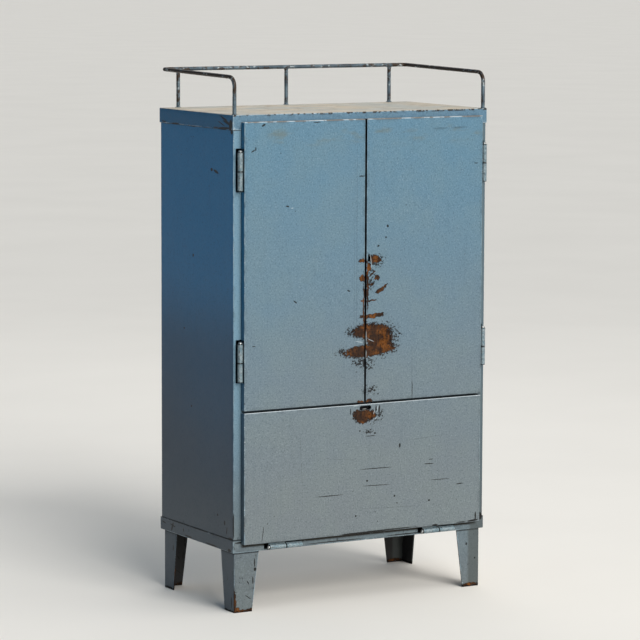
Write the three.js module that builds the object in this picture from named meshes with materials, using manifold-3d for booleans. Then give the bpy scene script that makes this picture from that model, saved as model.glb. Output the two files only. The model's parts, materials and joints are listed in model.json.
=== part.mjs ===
// Sheet steel bedside cabinet: two doors over a drop-down flap, four angle legs and a
// guard rail of round bar round three sides of the top. Millimetres, +Z up, the front
// faces -Y, and the origin is on the floor under the middle of the cabinet.

import * as THREE from 'three';
import { mergeVertices } from 'three/addons/utils/BufferGeometryUtils.js';
import Module from 'manifold-3d';

const wasm = await Module();
wasm.setup();

// ---------------------------------------------------------------- driving dimensions

const WIDTH = 600; // over the cap
const CARCASS_DEPTH = 320; // cap front to cap back
const TOP_HEIGHT = 1008; // top surface above the floor
const LEG_LENGTH = 124; // floor to the underside of the base pan
const DOOR_PROUD = 14; // how far doors and flap stand in front of the cap
const SHEET = 1.2; // sheet steel of every folded panel
const GAP = 0.3; // clearance between pieces that touch or are welded

const CAP_SKIRT = 30; // height of the turned-down edge of the cap
const BASE_SKIRT = 26; // height of the turned-up edge of the base pan
const PAN_CORNER = 3; // radius of the upright corners of cap and base
const PAN_EDGE = 2; // radius between their flat and their skirts
const BEND = 1.9; // centre line radius of a fold in sheet

const STILE = 28.5; // width of the front faces folded from the side panels
const STILE_RETURN = 12; // lip behind the inner edge of each stile
const REAR_FLANGE = 18; // lip of the side panels that the back is welded to
const BACK_MARGIN = 1.5; // each side of the back panel, inside the corners of the cap

const LEAF_DEPTH = 13; // front to back of the door and flap pans
const SIDE_MARGIN = 18.5; // cabinet side to the edge of doors and flap
const CENTRE_GAP = 3; // between the two doors
const DOOR_TOP = 994;
const DOOR_BOTTOM = 413;
const FLAP_TOP = 410;
const FLAP_BOTTOM = 141;
const LEAF_CORNER = 2; // corner radius of the door and flap outlines
const LEAF_EDGE = 1.2; // radius along their front edges

const DIVIDER_TOP = 424; // top of the fixed shelf between doors and flap
const DIVIDER_LIP = 26;
const SHELF_TOP = 706; // top of the shelf behind the doors
const SHELF_LIP = 18;
const SHELF_FRONT = -120;
const SHELF_CLEARANCE = 1; // each side, past the bends of the side panels
const RUNNER = 20; // leg length of the angles that carry the shelf
const RUNNER_THICK = 2;
const RUNNER_MARGIN = 10; // shorter than the shelf by this at each end

const HINGE_FROM_END = 98.5; // hinge centre to the end of its door or flap
const BARREL_RADIUS = 5.2;
const BORE_RADIUS = 3.3;
const PIN_RADIUS = 3;
const PIN_HEAD_RADIUS = 4;
const PIN_HEAD_HEIGHT = 4;
const KNUCKLE = 38.5; // length of each half of a hinge barrel
const KNUCKLE_GAP = 0.7;
const HINGE_PLATE = 2; // thickness of the hinge leaves
const DOOR_AXIS_FROM_LEAF = 7; // hinge axis to the side edge of a door
const FLAP_AXIS_FROM_LEAF = 9.5; // hinge axis to the lower edge of the flap
const HINGE_WINDOW = { outer: -4.5, inner: 9, ends: 2.5 }; // cut round each hinge

const LEG_WIDE = 57; // flange width at the top of a leg
const LEG_NARROW = 41; // and at its foot
const LEG_PLATE = 2.5;
const LEG_INSET = 6;

const BAR_RADIUS = 4; // guard rail bar
const RAIL_SIDE_INSET = 6.5;
const RAIL_FRONT_INSET = 6;
const RAIL_BACK_INSET = 4;
const RAIL_FRONT_RISE = 74.5; // bar centre above the top, at the front
const RAIL_BACK_RISE = 79.5; // and at the back
const RAIL_FRONT_BEND = 20;
const RAIL_BACK_BEND = 11;
const POST_PLACES = { left: -258, middle: -1, right: 253 };

const FINGER_SLOT = { x: 1, z: 402, width: 28, height: 9, corner: 4.4 };
const DOOR_SLOT = { x: 8.2, z: 710, width: 5.5, height: 16, corner: 2.7 };

// Places that follow from them.
const FRONT = DOOR_PROUD / 2 - CARCASS_DEPTH / 2;
const BACK = FRONT + CARCASS_DEPTH;
const LEAF_FRONT = FRONT - DOOR_PROUD;
const LEAF_REAR = LEAF_FRONT + LEAF_DEPTH;
const PANEL_X = WIDTH / 2 - SHEET - GAP; // outer face of a side panel
const STILE_FRONT = FRONT + SHEET + GAP;
const BACK_OUTER = BACK - SHEET - GAP;
const PANEL_REAR = BACK_OUTER - SHEET - GAP;
const PANEL_BOTTOM = LEG_LENGTH + SHEET + GAP;
const PANEL_TOP = TOP_HEIGHT - SHEET - GAP;
const INNER_X = PANEL_X - SHEET - GAP; // room between the side panels
const INNER_REAR = PANEL_REAR - SHEET - GAP;
const SHELF_X = INNER_X - SHELF_CLEARANCE;
const BACK_X = PANEL_X - BACK_MARGIN;
const LEAF_SIDE = WIDTH / 2 - SIDE_MARGIN;
const AXIS_Y = LEAF_FRONT + BARREL_RADIUS; // barrels are flush with the doors
const DOOR_AXIS_X = LEAF_SIDE + DOOR_AXIS_FROM_LEAF;
const FLAP_AXIS_Z = FLAP_BOTTOM - FLAP_AXIS_FROM_LEAF;
const HINGE_HALF = KNUCKLE + KNUCKLE_GAP / 2;
const DOOR_HINGE_HEIGHTS = {
  upper: DOOR_TOP - HINGE_FROM_END,
  lower: DOOR_BOTTOM + HINGE_FROM_END,
};

const ARC_STEPS = 4;
const DOME_STEPS = 5;
const ROUND_STEPS = 18;
const BAR_SIDES = 12;
const PAST = 5; // how far a cutting block runs past what it cuts

// ---------------------------------------------------------------- finishes

const finish = (color, roughness, metalness) =>
  new THREE.MeshStandardMaterial({ color, roughness, metalness });
const FINISHES = {
  front: finish(0x6f93a8, 0.42, 0.25),
  carcass: finish(0x4d7590, 0.45, 0.25),
  top: finish(0xa9a79d, 0.35, 0.35),
  inside: finish(0x5f7f92, 0.5, 0.2),
  rail: finish(0x74868f, 0.4, 0.5),
  hinge: finish(0x87979b, 0.38, 0.7),
  bare: finish(0xb9bab6, 0.3, 0.9),
};

// ---------------------------------------------------------------- solids and outlines

function solidOf(geometry) {
  const bare = geometry.clone();
  bare.deleteAttribute('normal');
  bare.deleteAttribute('uv');
  const merged = mergeVertices(bare);
  return new wasm.Manifold(new wasm.Mesh({
    numProp: 3,
    vertProperties: new Float32Array(merged.attributes.position.array),
    triVerts: new Uint32Array(merged.index.array),
  }));
}

function geometryOf(solid) {
  const mesh = solid.getMesh();
  const geometry = new THREE.BufferGeometry();
  geometry.setAttribute('position', new THREE.BufferAttribute(mesh.vertProperties, 3));
  geometry.setIndex(new THREE.BufferAttribute(mesh.triVerts, 1));
  geometry.computeVertexNormals();
  return geometry;
}

function block(x0, x1, y0, y1, z0, z1) {
  const geometry = new THREE.BoxGeometry(x1 - x0, y1 - y0, z1 - z0);
  geometry.translate((x0 + x1) / 2, (y0 + y1) / 2, (z0 + z1) / 2);
  return solidOf(geometry);
}

function extrude(shape, depth, options = {}) {
  return new THREE.ExtrudeGeometry(shape, {
    depth,
    bevelEnabled: false,
    curveSegments: ARC_STEPS,
    ...options,
  });
}

function roundedRectangle(width, height, radius) {
  const [x, y] = [width / 2 - radius, height / 2 - radius];
  const shape = new THREE.Shape();
  shape.absarc(x, y, radius, 0, Math.PI / 2);
  shape.absarc(-x, y, radius, Math.PI / 2, Math.PI);
  shape.absarc(-x, -y, radius, Math.PI, 1.5 * Math.PI);
  shape.absarc(x, -y, radius, 1.5 * Math.PI, 2 * Math.PI);
  return shape;
}

// Points and directions along straight runs joined by round bends, with samples only
// where they are needed: at both ends and round each bend.
function bentLine(corners, radii, steps) {
  const samples = [];
  const last = corners.length - 1;
  const run = (i) => corners[i + 1].clone().sub(corners[i]).normalize();
  samples.push({ point: corners[0].clone(), direction: run(0) });
  for (let i = 1; i < last; i += 1) {
    const incoming = run(i - 1);
    const outgoing = run(i);
    const turn = Math.acos(incoming.dot(outgoing));
    const setback = radii[i - 1] * Math.tan(turn / 2);
    const start = corners[i].clone().addScaledVector(incoming, -setback);
    const inward = outgoing.clone().addScaledVector(incoming, -Math.cos(turn)).normalize();
    for (let k = 0; k <= steps; k += 1) {
      const angle = (turn * k) / steps;
      const point = start.clone()
        .addScaledVector(incoming, radii[i - 1] * Math.sin(angle))
        .addScaledVector(inward, radii[i - 1] * (1 - Math.cos(angle)));
      const direction = incoming.clone().multiplyScalar(Math.cos(angle))
        .addScaledVector(inward, Math.sin(angle));
      samples.push({ point, direction });
    }
  }
  samples.push({ point: corners[last].clone(), direction: run(last - 1) });
  return samples;
}

// Section of folded sheet: a centre line through the corners, given a thickness.
function foldedSection(corners, thickness, bendRadius) {
  const points = corners.map(([x, y]) => new THREE.Vector2(x, y));
  const radii = points.slice(2).map(() => bendRadius);
  const line = bentLine(points, radii, ARC_STEPS);
  const offset = ({ point, direction }, side) => new THREE.Vector2(
    point.x - direction.y * side * thickness / 2,
    point.y + direction.x * side * thickness / 2,
  );
  return new THREE.Shape([
    ...line.map((sample) => offset(sample, 1)),
    ...line.map((sample) => offset(sample, -1)).reverse(),
  ]);
}

// Folded sheet whose section lies in the plan (x, y), standing from z0 to z1.
function uprightFold(corners, thickness, bendRadius, z0, z1) {
  const geometry = extrude(foldedSection(corners, thickness, bendRadius), z1 - z0);
  return solidOf(geometry.translate(0, 0, z0));
}

// Folded sheet whose section lies in the side view (y, z), running from x0 to x1.
function levelFold(corners, thickness, bendRadius, x0, x1) {
  const geometry = extrude(foldedSection(corners, thickness, bendRadius), x1 - x0);
  geometry.rotateZ(Math.PI / 2).rotateY(Math.PI / 2); // section (x, y) becomes (y, z)
  return solidOf(geometry.translate(x0, 0, 0));
}

// A shallow sheet pan: closed face at z = height, open at z = 0, centred in x and y.
function pan(width, length, height, corner, edge) {
  const outline = roundedRectangle(width, length, corner);
  const outer = solidOf(extrude(outline, height, {
    bevelEnabled: true,
    bevelThickness: edge,
    bevelSize: edge,
    bevelOffset: -edge,
    bevelSegments: ARC_STEPS,
  }).translate(0, 0, -edge));
  const cavity = solidOf(extrude(
    roundedRectangle(width - 2 * SHEET, length - 2 * SHEET, corner - SHEET / 2),
    height + edge - SHEET,
  ).translate(0, 0, -edge));
  const below = block(-width, width, -length, length, -PAST, 0);
  return outer.subtract(cavity).subtract(below);
}

// Turned body on the local z axis from pairs of radius and height.
function turned(profile) {
  const points = profile.map(([radius, height]) => new THREE.Vector2(radius, height));
  return new THREE.LatheGeometry(points, ROUND_STEPS).rotateX(Math.PI / 2);
}

function rod(radius, z0, z1) {
  const length = z1 - z0;
  const geometry = new THREE.CylinderGeometry(radius, radius, length, ROUND_STEPS);
  return solidOf(geometry.rotateX(Math.PI / 2).translate(0, 0, (z0 + z1) / 2));
}

const cabinet = new THREE.Group();

function place(parent, name, geometry, material, position = [0, 0, 0], rotation = [0, 0, 0]) {
  const mesh = new THREE.Mesh(geometry, material);
  mesh.name = name;
  mesh.position.set(...position);
  mesh.rotation.set(...rotation);
  parent.add(mesh);
  return mesh;
}

// ---------------------------------------------------------------- carcass

// The windows in which a hinge barrel sits, cut through the sheet behind it. The sheet
// is square to y, the hinge runs along z (doors) or x (flap).
const WINDOW_FROM = STILE_FRONT - PAST;
const WINDOW_TO = STILE_FRONT + PAST;
const BASE_WINDOW_TO = FRONT + SHEET + PAST / 2; // short of the hinge leaves' feet

function doorHingeWindow(side, height) {
  const xs = [
    side * (DOOR_AXIS_X - HINGE_WINDOW.inner),
    side * (DOOR_AXIS_X - HINGE_WINDOW.outer),
  ].sort((a, b) => a - b);
  const reach = HINGE_HALF + HINGE_WINDOW.ends;
  return block(...xs, WINDOW_FROM, WINDOW_TO, height - reach, height + reach);
}

function flapHingeWindow(x) {
  const reach = HINGE_HALF + HINGE_WINDOW.ends;
  const z0 = FLAP_AXIS_Z + HINGE_WINDOW.outer;
  const z1 = FLAP_AXIS_Z + HINGE_WINDOW.inner;
  return block(x - reach, x + reach, FRONT - PAST, BASE_WINDOW_TO, z0, z1);
}

const FLAP_HINGE_PLACES = {
  left: HINGE_FROM_END - LEAF_SIDE,
  right: LEAF_SIDE - HINGE_FROM_END,
};

function sidePanel(side) {
  const half = SHEET / 2;
  const stileEdge = PANEL_X - STILE + half;
  const section = [
    [stileEdge, STILE_FRONT + STILE_RETURN],
    [stileEdge, STILE_FRONT + half],
    [PANEL_X - half, STILE_FRONT + half],
    [PANEL_X - half, PANEL_REAR - half],
    [PANEL_X - REAR_FLANGE, PANEL_REAR - half],
  ].map(([x, y]) => [side * x, y]);
  let panel = uprightFold(section, SHEET, BEND, PANEL_BOTTOM, PANEL_TOP);
  for (const height of Object.values(DOOR_HINGE_HEIGHTS)) {
    panel = panel.subtract(doorHingeWindow(side, height));
  }
  return geometryOf(panel);
}

function basePan() {
  // The pan is drawn closed face up and turned over, so the windows are cut afterwards.
  const drawn = geometryOf(pan(WIDTH, CARCASS_DEPTH, BASE_SKIRT, PAN_CORNER, PAN_EDGE));
  drawn.rotateX(Math.PI).translate(0, (FRONT + BACK) / 2, LEG_LENGTH + BASE_SKIRT);
  let base = solidOf(drawn);
  for (const x of Object.values(FLAP_HINGE_PLACES)) {
    base = base.subtract(flapHingeWindow(x));
  }
  return geometryOf(base);
}

function dividerShelf() {
  const half = SHEET / 2;
  const top = DIVIDER_TOP - half;
  const section = [
    [INNER_REAR - half, top + STILE_RETURN],
    [INNER_REAR - half, top],
    [STILE_FRONT + half, top],
    [STILE_FRONT + half, DIVIDER_TOP - DIVIDER_LIP + half],
    [STILE_FRONT + STILE_RETURN, DIVIDER_TOP - DIVIDER_LIP + half],
  ];
  let shelf = levelFold(section, SHEET, BEND, -SHELF_X, SHELF_X);
  // The front corners step in so that the lip fits between the two stiles.
  const behindStile = STILE_FRONT + STILE_RETURN + GAP;
  const lipEnd = PANEL_X - STILE - GAP;
  for (const side of [-1, 1]) {
    const xs = [side * lipEnd, side * WIDTH].sort((a, b) => a - b);
    shelf = shelf.subtract(block(...xs, FRONT - PAST, behindStile, 0, TOP_HEIGHT));
  }
  return geometryOf(shelf);
}

function looseShelf() {
  const half = SHEET / 2;
  const top = SHELF_TOP - half;
  const bottom = SHELF_TOP - SHELF_LIP;
  const section = [
    [INNER_REAR - GAP - half, bottom],
    [INNER_REAR - GAP - half, top],
    [SHELF_FRONT + half, top],
    [SHELF_FRONT + half, bottom],
  ];
  return geometryOf(levelFold(section, SHEET, BEND, -SHELF_X, SHELF_X));
}

function shelfRunner(side) {
  const top = SHELF_TOP - SHEET - GAP;
  const outer = side * INNER_X;
  const inner = side * (INNER_X - RUNNER);
  const web = side * (INNER_X - RUNNER_THICK);
  const section = new THREE.Shape();
  section.moveTo(inner, top);
  section.lineTo(outer, top);
  section.lineTo(outer, top - RUNNER);
  section.lineTo(web, top - RUNNER);
  section.lineTo(web, top - RUNNER_THICK);
  section.lineTo(inner, top - RUNNER_THICK);
  section.closePath();
  const length = INNER_REAR - SHELF_FRONT - 2 * RUNNER_MARGIN;
  const geometry = extrude(section, length).rotateX(Math.PI / 2); // now runs towards -y
  return geometry.translate(0, INNER_REAR - RUNNER_MARGIN, 0);
}

const carcass = new THREE.Group();
cabinet.add(carcass);
place(carcass, 'left_side_panel', sidePanel(-1), FINISHES.carcass);
place(carcass, 'right_side_panel', sidePanel(1), FINISHES.carcass);
place(
  carcass,
  'back_panel',
  geometryOf(block(-BACK_X, BACK_X, BACK_OUTER - SHEET, BACK_OUTER, PANEL_BOTTOM, PANEL_TOP)),
  FINISHES.carcass,
);
place(
  carcass,
  'top_cap',
  geometryOf(pan(WIDTH, CARCASS_DEPTH, CAP_SKIRT, PAN_CORNER, PAN_EDGE)),
  FINISHES.top,
  [0, (FRONT + BACK) / 2, TOP_HEIGHT - CAP_SKIRT],
);
place(carcass, 'base_pan', basePan(), FINISHES.carcass);
place(carcass, 'divider_shelf', dividerShelf(), FINISHES.inside);
place(carcass, 'upper_shelf', looseShelf(), FINISHES.inside);
place(carcass, 'left_shelf_runner', shelfRunner(-1), FINISHES.inside);
place(carcass, 'right_shelf_runner', shelfRunner(1), FINISHES.inside);

// ---------------------------------------------------------------- legs

// An angle leg whose two flanges taper towards the foot. Outer corner at (x, y) times
// the two sides' signs.
function leg(sideX, sideY, y) {
  const half = LEG_PLATE / 2;
  const x = WIDTH / 2 - LEG_INSET;
  const top = LEG_LENGTH - GAP;
  const section = [
    [sideX * (x - LEG_WIDE), y - sideY * half],
    [sideX * (x - half), y - sideY * half],
    [sideX * (x - half), y - sideY * LEG_WIDE],
  ];
  const angle = uprightFold(section, LEG_PLATE, LEG_PLATE, 0, top);
  // Wedge that tapers one flange: distance from the corner against height.
  const wedge = new THREE.Shape([
    new THREE.Vector2(LEG_NARROW, 0),
    new THREE.Vector2(LEG_WIDE + PAST, 0),
    new THREE.Vector2(LEG_WIDE + PAST, top),
    new THREE.Vector2(LEG_WIDE, top),
  ]);
  const mirrorX = sideX > 0 ? Math.PI : 0;
  const acrossX = extrude(wedge, 2 * LEG_WIDE).translate(0, 0, -LEG_WIDE)
    .rotateX(Math.PI / 2).rotateZ(mirrorX).translate(sideX * x, y, 0);
  const turnY = sideY < 0 ? Math.PI / 2 : -Math.PI / 2;
  const acrossY = extrude(wedge, 2 * LEG_WIDE).translate(0, 0, -LEG_WIDE)
    .rotateX(Math.PI / 2).rotateZ(turnY).translate(sideX * x, y, 0);
  return geometryOf(angle.subtract(solidOf(acrossX)).subtract(solidOf(acrossY)));
}

const LEG_FRONT_Y = FRONT + LEG_INSET;
const LEG_REAR_Y = BACK - LEG_INSET;
const legs = new THREE.Group();
cabinet.add(legs);
place(legs, 'front_left_leg', leg(-1, -1, LEG_FRONT_Y), FINISHES.carcass);
place(legs, 'front_right_leg', leg(1, -1, LEG_FRONT_Y), FINISHES.carcass);
place(legs, 'rear_left_leg', leg(-1, 1, LEG_REAR_Y), FINISHES.carcass);
place(legs, 'rear_right_leg', leg(1, 1, LEG_REAR_Y), FINISHES.carcass);

// ---------------------------------------------------------------- guard rail

// Centre line of a bent bar. A step goes from one sample to the next, so that the
// straight runs cost nothing and the bends stay round.
class BarLine extends THREE.Curve {
  constructor(samples) {
    super();
    this.samples = samples;
  }

  at(u) {
    return this.samples[Math.round(u * (this.samples.length - 1))];
  }

  getPointAt(u) {
    return this.at(u).point.clone();
  }

  getTangentAt(u) {
    return this.at(u).direction.clone();
  }
}

function bar(corners, radii) {
  const points = corners.map((corner) => new THREE.Vector3(...corner));
  const line = new BarLine(bentLine(points, radii, DOME_STEPS));
  const section = new THREE.Shape().absarc(0, 0, BAR_RADIUS, 0, 2 * Math.PI);
  const geometry = new THREE.ExtrudeGeometry(section, {
    steps: line.samples.length - 1,
    curveSegments: BAR_SIDES / 2,
    bevelEnabled: false,
    extrudePath: line,
  });
  return geometryOf(solidOf(geometry));
}

const RAIL_X = WIDTH / 2 - RAIL_SIDE_INSET;
const RAIL_FRONT_Y = FRONT + RAIL_FRONT_INSET;
const RAIL_BACK_Y = BACK - RAIL_BACK_INSET;
const RAIL_FOOT = TOP_HEIGHT + GAP;
const rail = new THREE.Group();
cabinet.add(rail);
place(rail, 'guard_rail_bar', bar([
  [-RAIL_X, RAIL_FRONT_Y, RAIL_FOOT],
  [-RAIL_X, RAIL_FRONT_Y, TOP_HEIGHT + RAIL_FRONT_RISE],
  [-RAIL_X, RAIL_BACK_Y, TOP_HEIGHT + RAIL_BACK_RISE],
  [RAIL_X, RAIL_BACK_Y, TOP_HEIGHT + RAIL_BACK_RISE],
  [RAIL_X, RAIL_FRONT_Y, TOP_HEIGHT + RAIL_FRONT_RISE],
  [RAIL_X, RAIL_FRONT_Y, RAIL_FOOT],
], [RAIL_FRONT_BEND, RAIL_BACK_BEND, RAIL_BACK_BEND, RAIL_FRONT_BEND]), FINISHES.rail);
for (const [name, x] of Object.entries(POST_PLACES)) {
  const top = TOP_HEIGHT + RAIL_BACK_RISE - BAR_RADIUS - GAP;
  const post = geometryOf(rod(BAR_RADIUS, RAIL_FOOT, top));
  place(rail, `guard_rail_post_${name}`, post, FINISHES.rail, [x, RAIL_BACK_Y, 0]);
}

// ---------------------------------------------------------------- doors and flap

// A leaf is a pan whose closed face is the front. Notches are cut in one of its edges
// where the hinge barrels stand.
const LEAF_TURN = [Math.PI / 2, 0, 0]; // local z points to the front
const NOTCH_REACH = HINGE_HALF + HINGE_WINDOW.ends;
const NOTCH_HEIGHT = LEAF_DEPTH - SHEET;

function leafPan(width, height) {
  return pan(width, height, LEAF_DEPTH, LEAF_CORNER, LEAF_EDGE);
}

// A slot through a leaf whose centre is at (leafX, leafZ).
function slotCut(slot, leafX, leafZ) {
  const outline = roundedRectangle(slot.width, slot.height, slot.corner);
  const through = extrude(outline, 2 * LEAF_DEPTH);
  return solidOf(through.translate(slot.x - leafX, slot.z - leafZ, 0));
}

const DOOR_WIDTH = LEAF_SIDE - CENTRE_GAP / 2;
const DOOR_HEIGHT = DOOR_TOP - DOOR_BOTTOM;
const DOOR_X = (LEAF_SIDE + CENTRE_GAP / 2) / 2;
const DOOR_Z = (DOOR_TOP + DOOR_BOTTOM) / 2;
const FLAP_WIDTH = 2 * LEAF_SIDE;
const FLAP_HEIGHT = FLAP_TOP - FLAP_BOTTOM;
const FLAP_Z = (FLAP_TOP + FLAP_BOTTOM) / 2;

function doorSkin(side) {
  let skin = leafPan(DOOR_WIDTH, DOOR_HEIGHT);
  const edge = side * (DOOR_WIDTH / 2);
  const xs = [edge - 2 * side * SHEET, edge + PAST * side].sort((a, b) => a - b);
  for (const height of Object.values(DOOR_HINGE_HEIGHTS)) {
    const y = height - DOOR_Z;
    skin = skin.subtract(block(...xs, y - NOTCH_REACH, y + NOTCH_REACH, -PAST, NOTCH_HEIGHT));
  }
  if (side > 0) {
    skin = skin.subtract(slotCut(DOOR_SLOT, DOOR_X, DOOR_Z));
  }
  return geometryOf(skin);
}

function flapSkin() {
  let skin = leafPan(FLAP_WIDTH, FLAP_HEIGHT);
  const edge = -FLAP_HEIGHT / 2;
  for (const x of Object.values(FLAP_HINGE_PLACES)) {
    skin = skin.subtract(block(
      x - NOTCH_REACH, x + NOTCH_REACH,
      edge - PAST, edge + 2 * SHEET,
      -PAST, NOTCH_HEIGHT,
    ));
  }
  return geometryOf(skin.subtract(slotCut(FINGER_SLOT, 0, FLAP_Z)));
}

// Hat-section stiffener welded behind a leaf's front sheet.
const HAT = { foot: 20, half: 20, depth: 9, endMargin: 40 };

function stiffener(length) {
  const half = SHEET / 2;
  const section = [
    [-HAT.half - HAT.foot, half],
    [-HAT.half, half],
    [-HAT.half, HAT.depth],
    [HAT.half, HAT.depth],
    [HAT.half, half],
    [HAT.half + HAT.foot, half],
  ];
  return geometryOf(uprightFold(section, SHEET, BEND, -length / 2, length / 2));
}

// Ball stud that a spring clip grips. It is turned round its local z, and its ball is at
// the lower end, which a leaf turns to the rear.
const STUD = { base: 7, baseThick: 1.5, shank: 2, ball: 3.5, reach: 29 };

function strikeStud() {
  const profile = [[0, 0], [STUD.base, 0], [STUD.base, STUD.baseThick]];
  profile.push([STUD.shank, STUD.baseThick]);
  const start = Math.asin(STUD.shank / STUD.ball);
  for (let k = 0; k <= DOME_STEPS; k += 1) {
    const angle = ((Math.PI - start) * (DOME_STEPS - k)) / DOME_STEPS;
    const radius = k === DOME_STEPS ? 0 : STUD.ball * Math.sin(angle);
    profile.push([radius, STUD.reach + STUD.ball * Math.cos(angle)]);
  }
  return turned(profile.map(([radius, height]) => [radius, -height]).reverse());
}

// Spring clip folded from strip: two prongs with a flared mouth towards -y, its section
// in (y, z) round the stud's centre. It is drawn held open, just clear of the ball.
const CLIP = { strip: 0.8, width: 14, room: 10, length: 17, flare: 4, bend: 1 };

function springClip() {
  const z = (CLIP.room + CLIP.strip) / 2;
  const section = [
    [-CLIP.flare, z - CLIP.strip],
    [0, z],
    [CLIP.length, z],
    [CLIP.length, -z],
    [0, -z],
    [-CLIP.flare, CLIP.strip - z],
  ];
  const geometry = levelFold(section, CLIP.strip, CLIP.bend, -CLIP.width / 2, CLIP.width / 2);
  return geometryOf(geometry);
}

const SHEET_BACK = LEAF_FRONT + SHEET + GAP; // where pieces lie behind a front sheet
const CLIP_SETBACK = 10; // prongs start this far behind the front of the stiles
const CLIP_MOUTH = STILE_FRONT + CLIP_SETBACK;
const CLIP_HALF = CLIP.room / 2 + CLIP.strip;
const DOOR_STUD_Z = DIVIDER_TOP + GAP + CLIP_HALF;
const FLAP_STUD_Z = DIVIDER_TOP - DIVIDER_LIP - GAP - CLIP_HALF;
const DOOR_STUD_X = 22;
const FLAP_STUD_X = 60;

function addDoor(name, side) {
  const door = new THREE.Group();
  cabinet.add(door);
  const centre = [side * DOOR_X, LEAF_REAR, DOOR_Z];
  place(door, `${name}_skin`, doorSkin(side), FINISHES.front, centre, LEAF_TURN);
  place(
    door,
    `${name}_stiffener`,
    stiffener(DOOR_HEIGHT - 2 * HAT.endMargin),
    FINISHES.inside,
    [side * DOOR_X, SHEET_BACK, DOOR_Z],
  );
  const stud = [side * DOOR_STUD_X, SHEET_BACK, DOOR_STUD_Z];
  place(door, `${name}_catch_stud`, strikeStud(), FINISHES.bare, stud, LEAF_TURN);
  const clip = [side * DOOR_STUD_X, CLIP_MOUTH, DOOR_STUD_Z];
  place(carcass, `${name}_spring_clip`, springClip(), FINISHES.bare, clip);
}

addDoor('left_door', -1);
addDoor('right_door', 1);

// Tongue behind the finger slot of the flap: a strip welded below the slot, bowed inwards
// and out again across it. Each pair is depth behind the sheet and height from the middle
// of the slot.
const TONGUE = {
  bend: 1.2,
  endMargin: 2,
  path: [[0, -19.8], [0, -11], [2.5, -7.5], [0.4, -3.4], [4.5, 2.2]],
};

function fingerTongue() {
  const y = SHEET_BACK + SHEET / 2;
  const section = TONGUE.path.map(([depth, height]) => [y + depth, FINGER_SLOT.z + height]);
  const reach = FINGER_SLOT.width / 2 - TONGUE.endMargin;
  const x0 = FINGER_SLOT.x - reach;
  return geometryOf(levelFold(section, SHEET, TONGUE.bend, x0, x0 + 2 * reach));
}

const flap = new THREE.Group();
cabinet.add(flap);
place(flap, 'flap_skin', flapSkin(), FINISHES.front, [0, LEAF_REAR, FLAP_Z], LEAF_TURN);
place(
  flap,
  'flap_stiffener',
  stiffener(FLAP_WIDTH - 2 * HAT.endMargin),
  FINISHES.inside,
  [0, SHEET_BACK, FLAP_Z],
  [0, Math.PI / 2, 0],
);
place(flap, 'flap_finger_tongue', fingerTongue(), FINISHES.bare);
for (const [name, side] of [['left', -1], ['right', 1]]) {
  const x = side * FLAP_STUD_X;
  const stud = [x, SHEET_BACK, FLAP_STUD_Z];
  place(flap, `flap_catch_stud_${name}`, strikeStud(), FINISHES.bare, stud, LEAF_TURN);
  const clip = [x, CLIP_MOUTH, FLAP_STUD_Z];
  place(carcass, `flap_spring_clip_${name}`, springClip(), FINISHES.bare, clip);
}

// ---------------------------------------------------------------- hinges

// Drawn on the local z axis with the pin's head up. The leaf that turns lies towards
// local +x times side, and the outside of the cabinet is local -y.
const PLATE_BEND = 1.2; // centre line radius where a hinge leaf is cranked
const CRANK_FROM = 4.5;
const CRANK_AT = 10;
const LEAF_REACH = 26.5;
const CRANK_IN = 3; // how far behind the axis the moving leaf leaves the barrel
const FRAME_LEAF_X = 5; // middle of the fixed leaf, tangent to the barrel
const FRAME_LEAF_FROM = 1;
const FRAME_FOOT = 11;

function knuckle(side, section, z0, z1) {
  const plate = uprightFold(
    section.map(([x, y]) => [side * x, y]),
    HINGE_PLATE,
    PLATE_BEND,
    z0,
    z1,
  );
  const bore = rod(BORE_RADIUS, z0 - PAST, z1 + PAST);
  return geometryOf(rod(BARREL_RADIUS, z0, z1).add(plate).subtract(bore));
}

function frameKnuckle(side) {
  const half = HINGE_PLATE / 2;
  const behindStile = STILE_FRONT + SHEET + GAP + half - AXIS_Y;
  const section = [
    [FRAME_LEAF_X, FRAME_LEAF_FROM],
    [FRAME_LEAF_X, behindStile],
    [FRAME_LEAF_X + FRAME_FOOT, behindStile],
  ];
  return knuckle(side, section, -HINGE_HALF, -KNUCKLE_GAP / 2);
}

function leafKnuckle(side) {
  const behindFront = SHEET_BACK + HINGE_PLATE / 2 - AXIS_Y;
  const section = [
    [CRANK_FROM, CRANK_IN],
    [CRANK_AT, CRANK_IN],
    [CRANK_AT, behindFront],
    [LEAF_REACH, behindFront],
  ];
  return knuckle(side, section, KNUCKLE_GAP / 2, HINGE_HALF);
}

function hingePin() {
  const top = HINGE_HALF + GAP;
  const profile = [[0, -HINGE_HALF], [PIN_RADIUS, -HINGE_HALF], [PIN_RADIUS, top]];
  for (let k = 0; k <= DOME_STEPS; k += 1) {
    const angle = (Math.PI / 2) * (k / DOME_STEPS);
    const radius = k === DOME_STEPS ? 0 : PIN_HEAD_RADIUS * Math.cos(angle);
    profile.push([radius, top + PIN_HEAD_HEIGHT * Math.sin(angle)]);
  }
  return turned(profile);
}

function addHinge(name, side, position, rotation) {
  const hinge = new THREE.Group();
  hinge.position.set(...position);
  hinge.rotation.set(...rotation);
  cabinet.add(hinge);
  place(hinge, `${name}_frame_knuckle`, frameKnuckle(side), FINISHES.hinge);
  place(hinge, `${name}_leaf_knuckle`, leafKnuckle(side), FINISHES.hinge);
  place(hinge, `${name}_pin`, hingePin(), FINISHES.bare);
}

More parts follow.
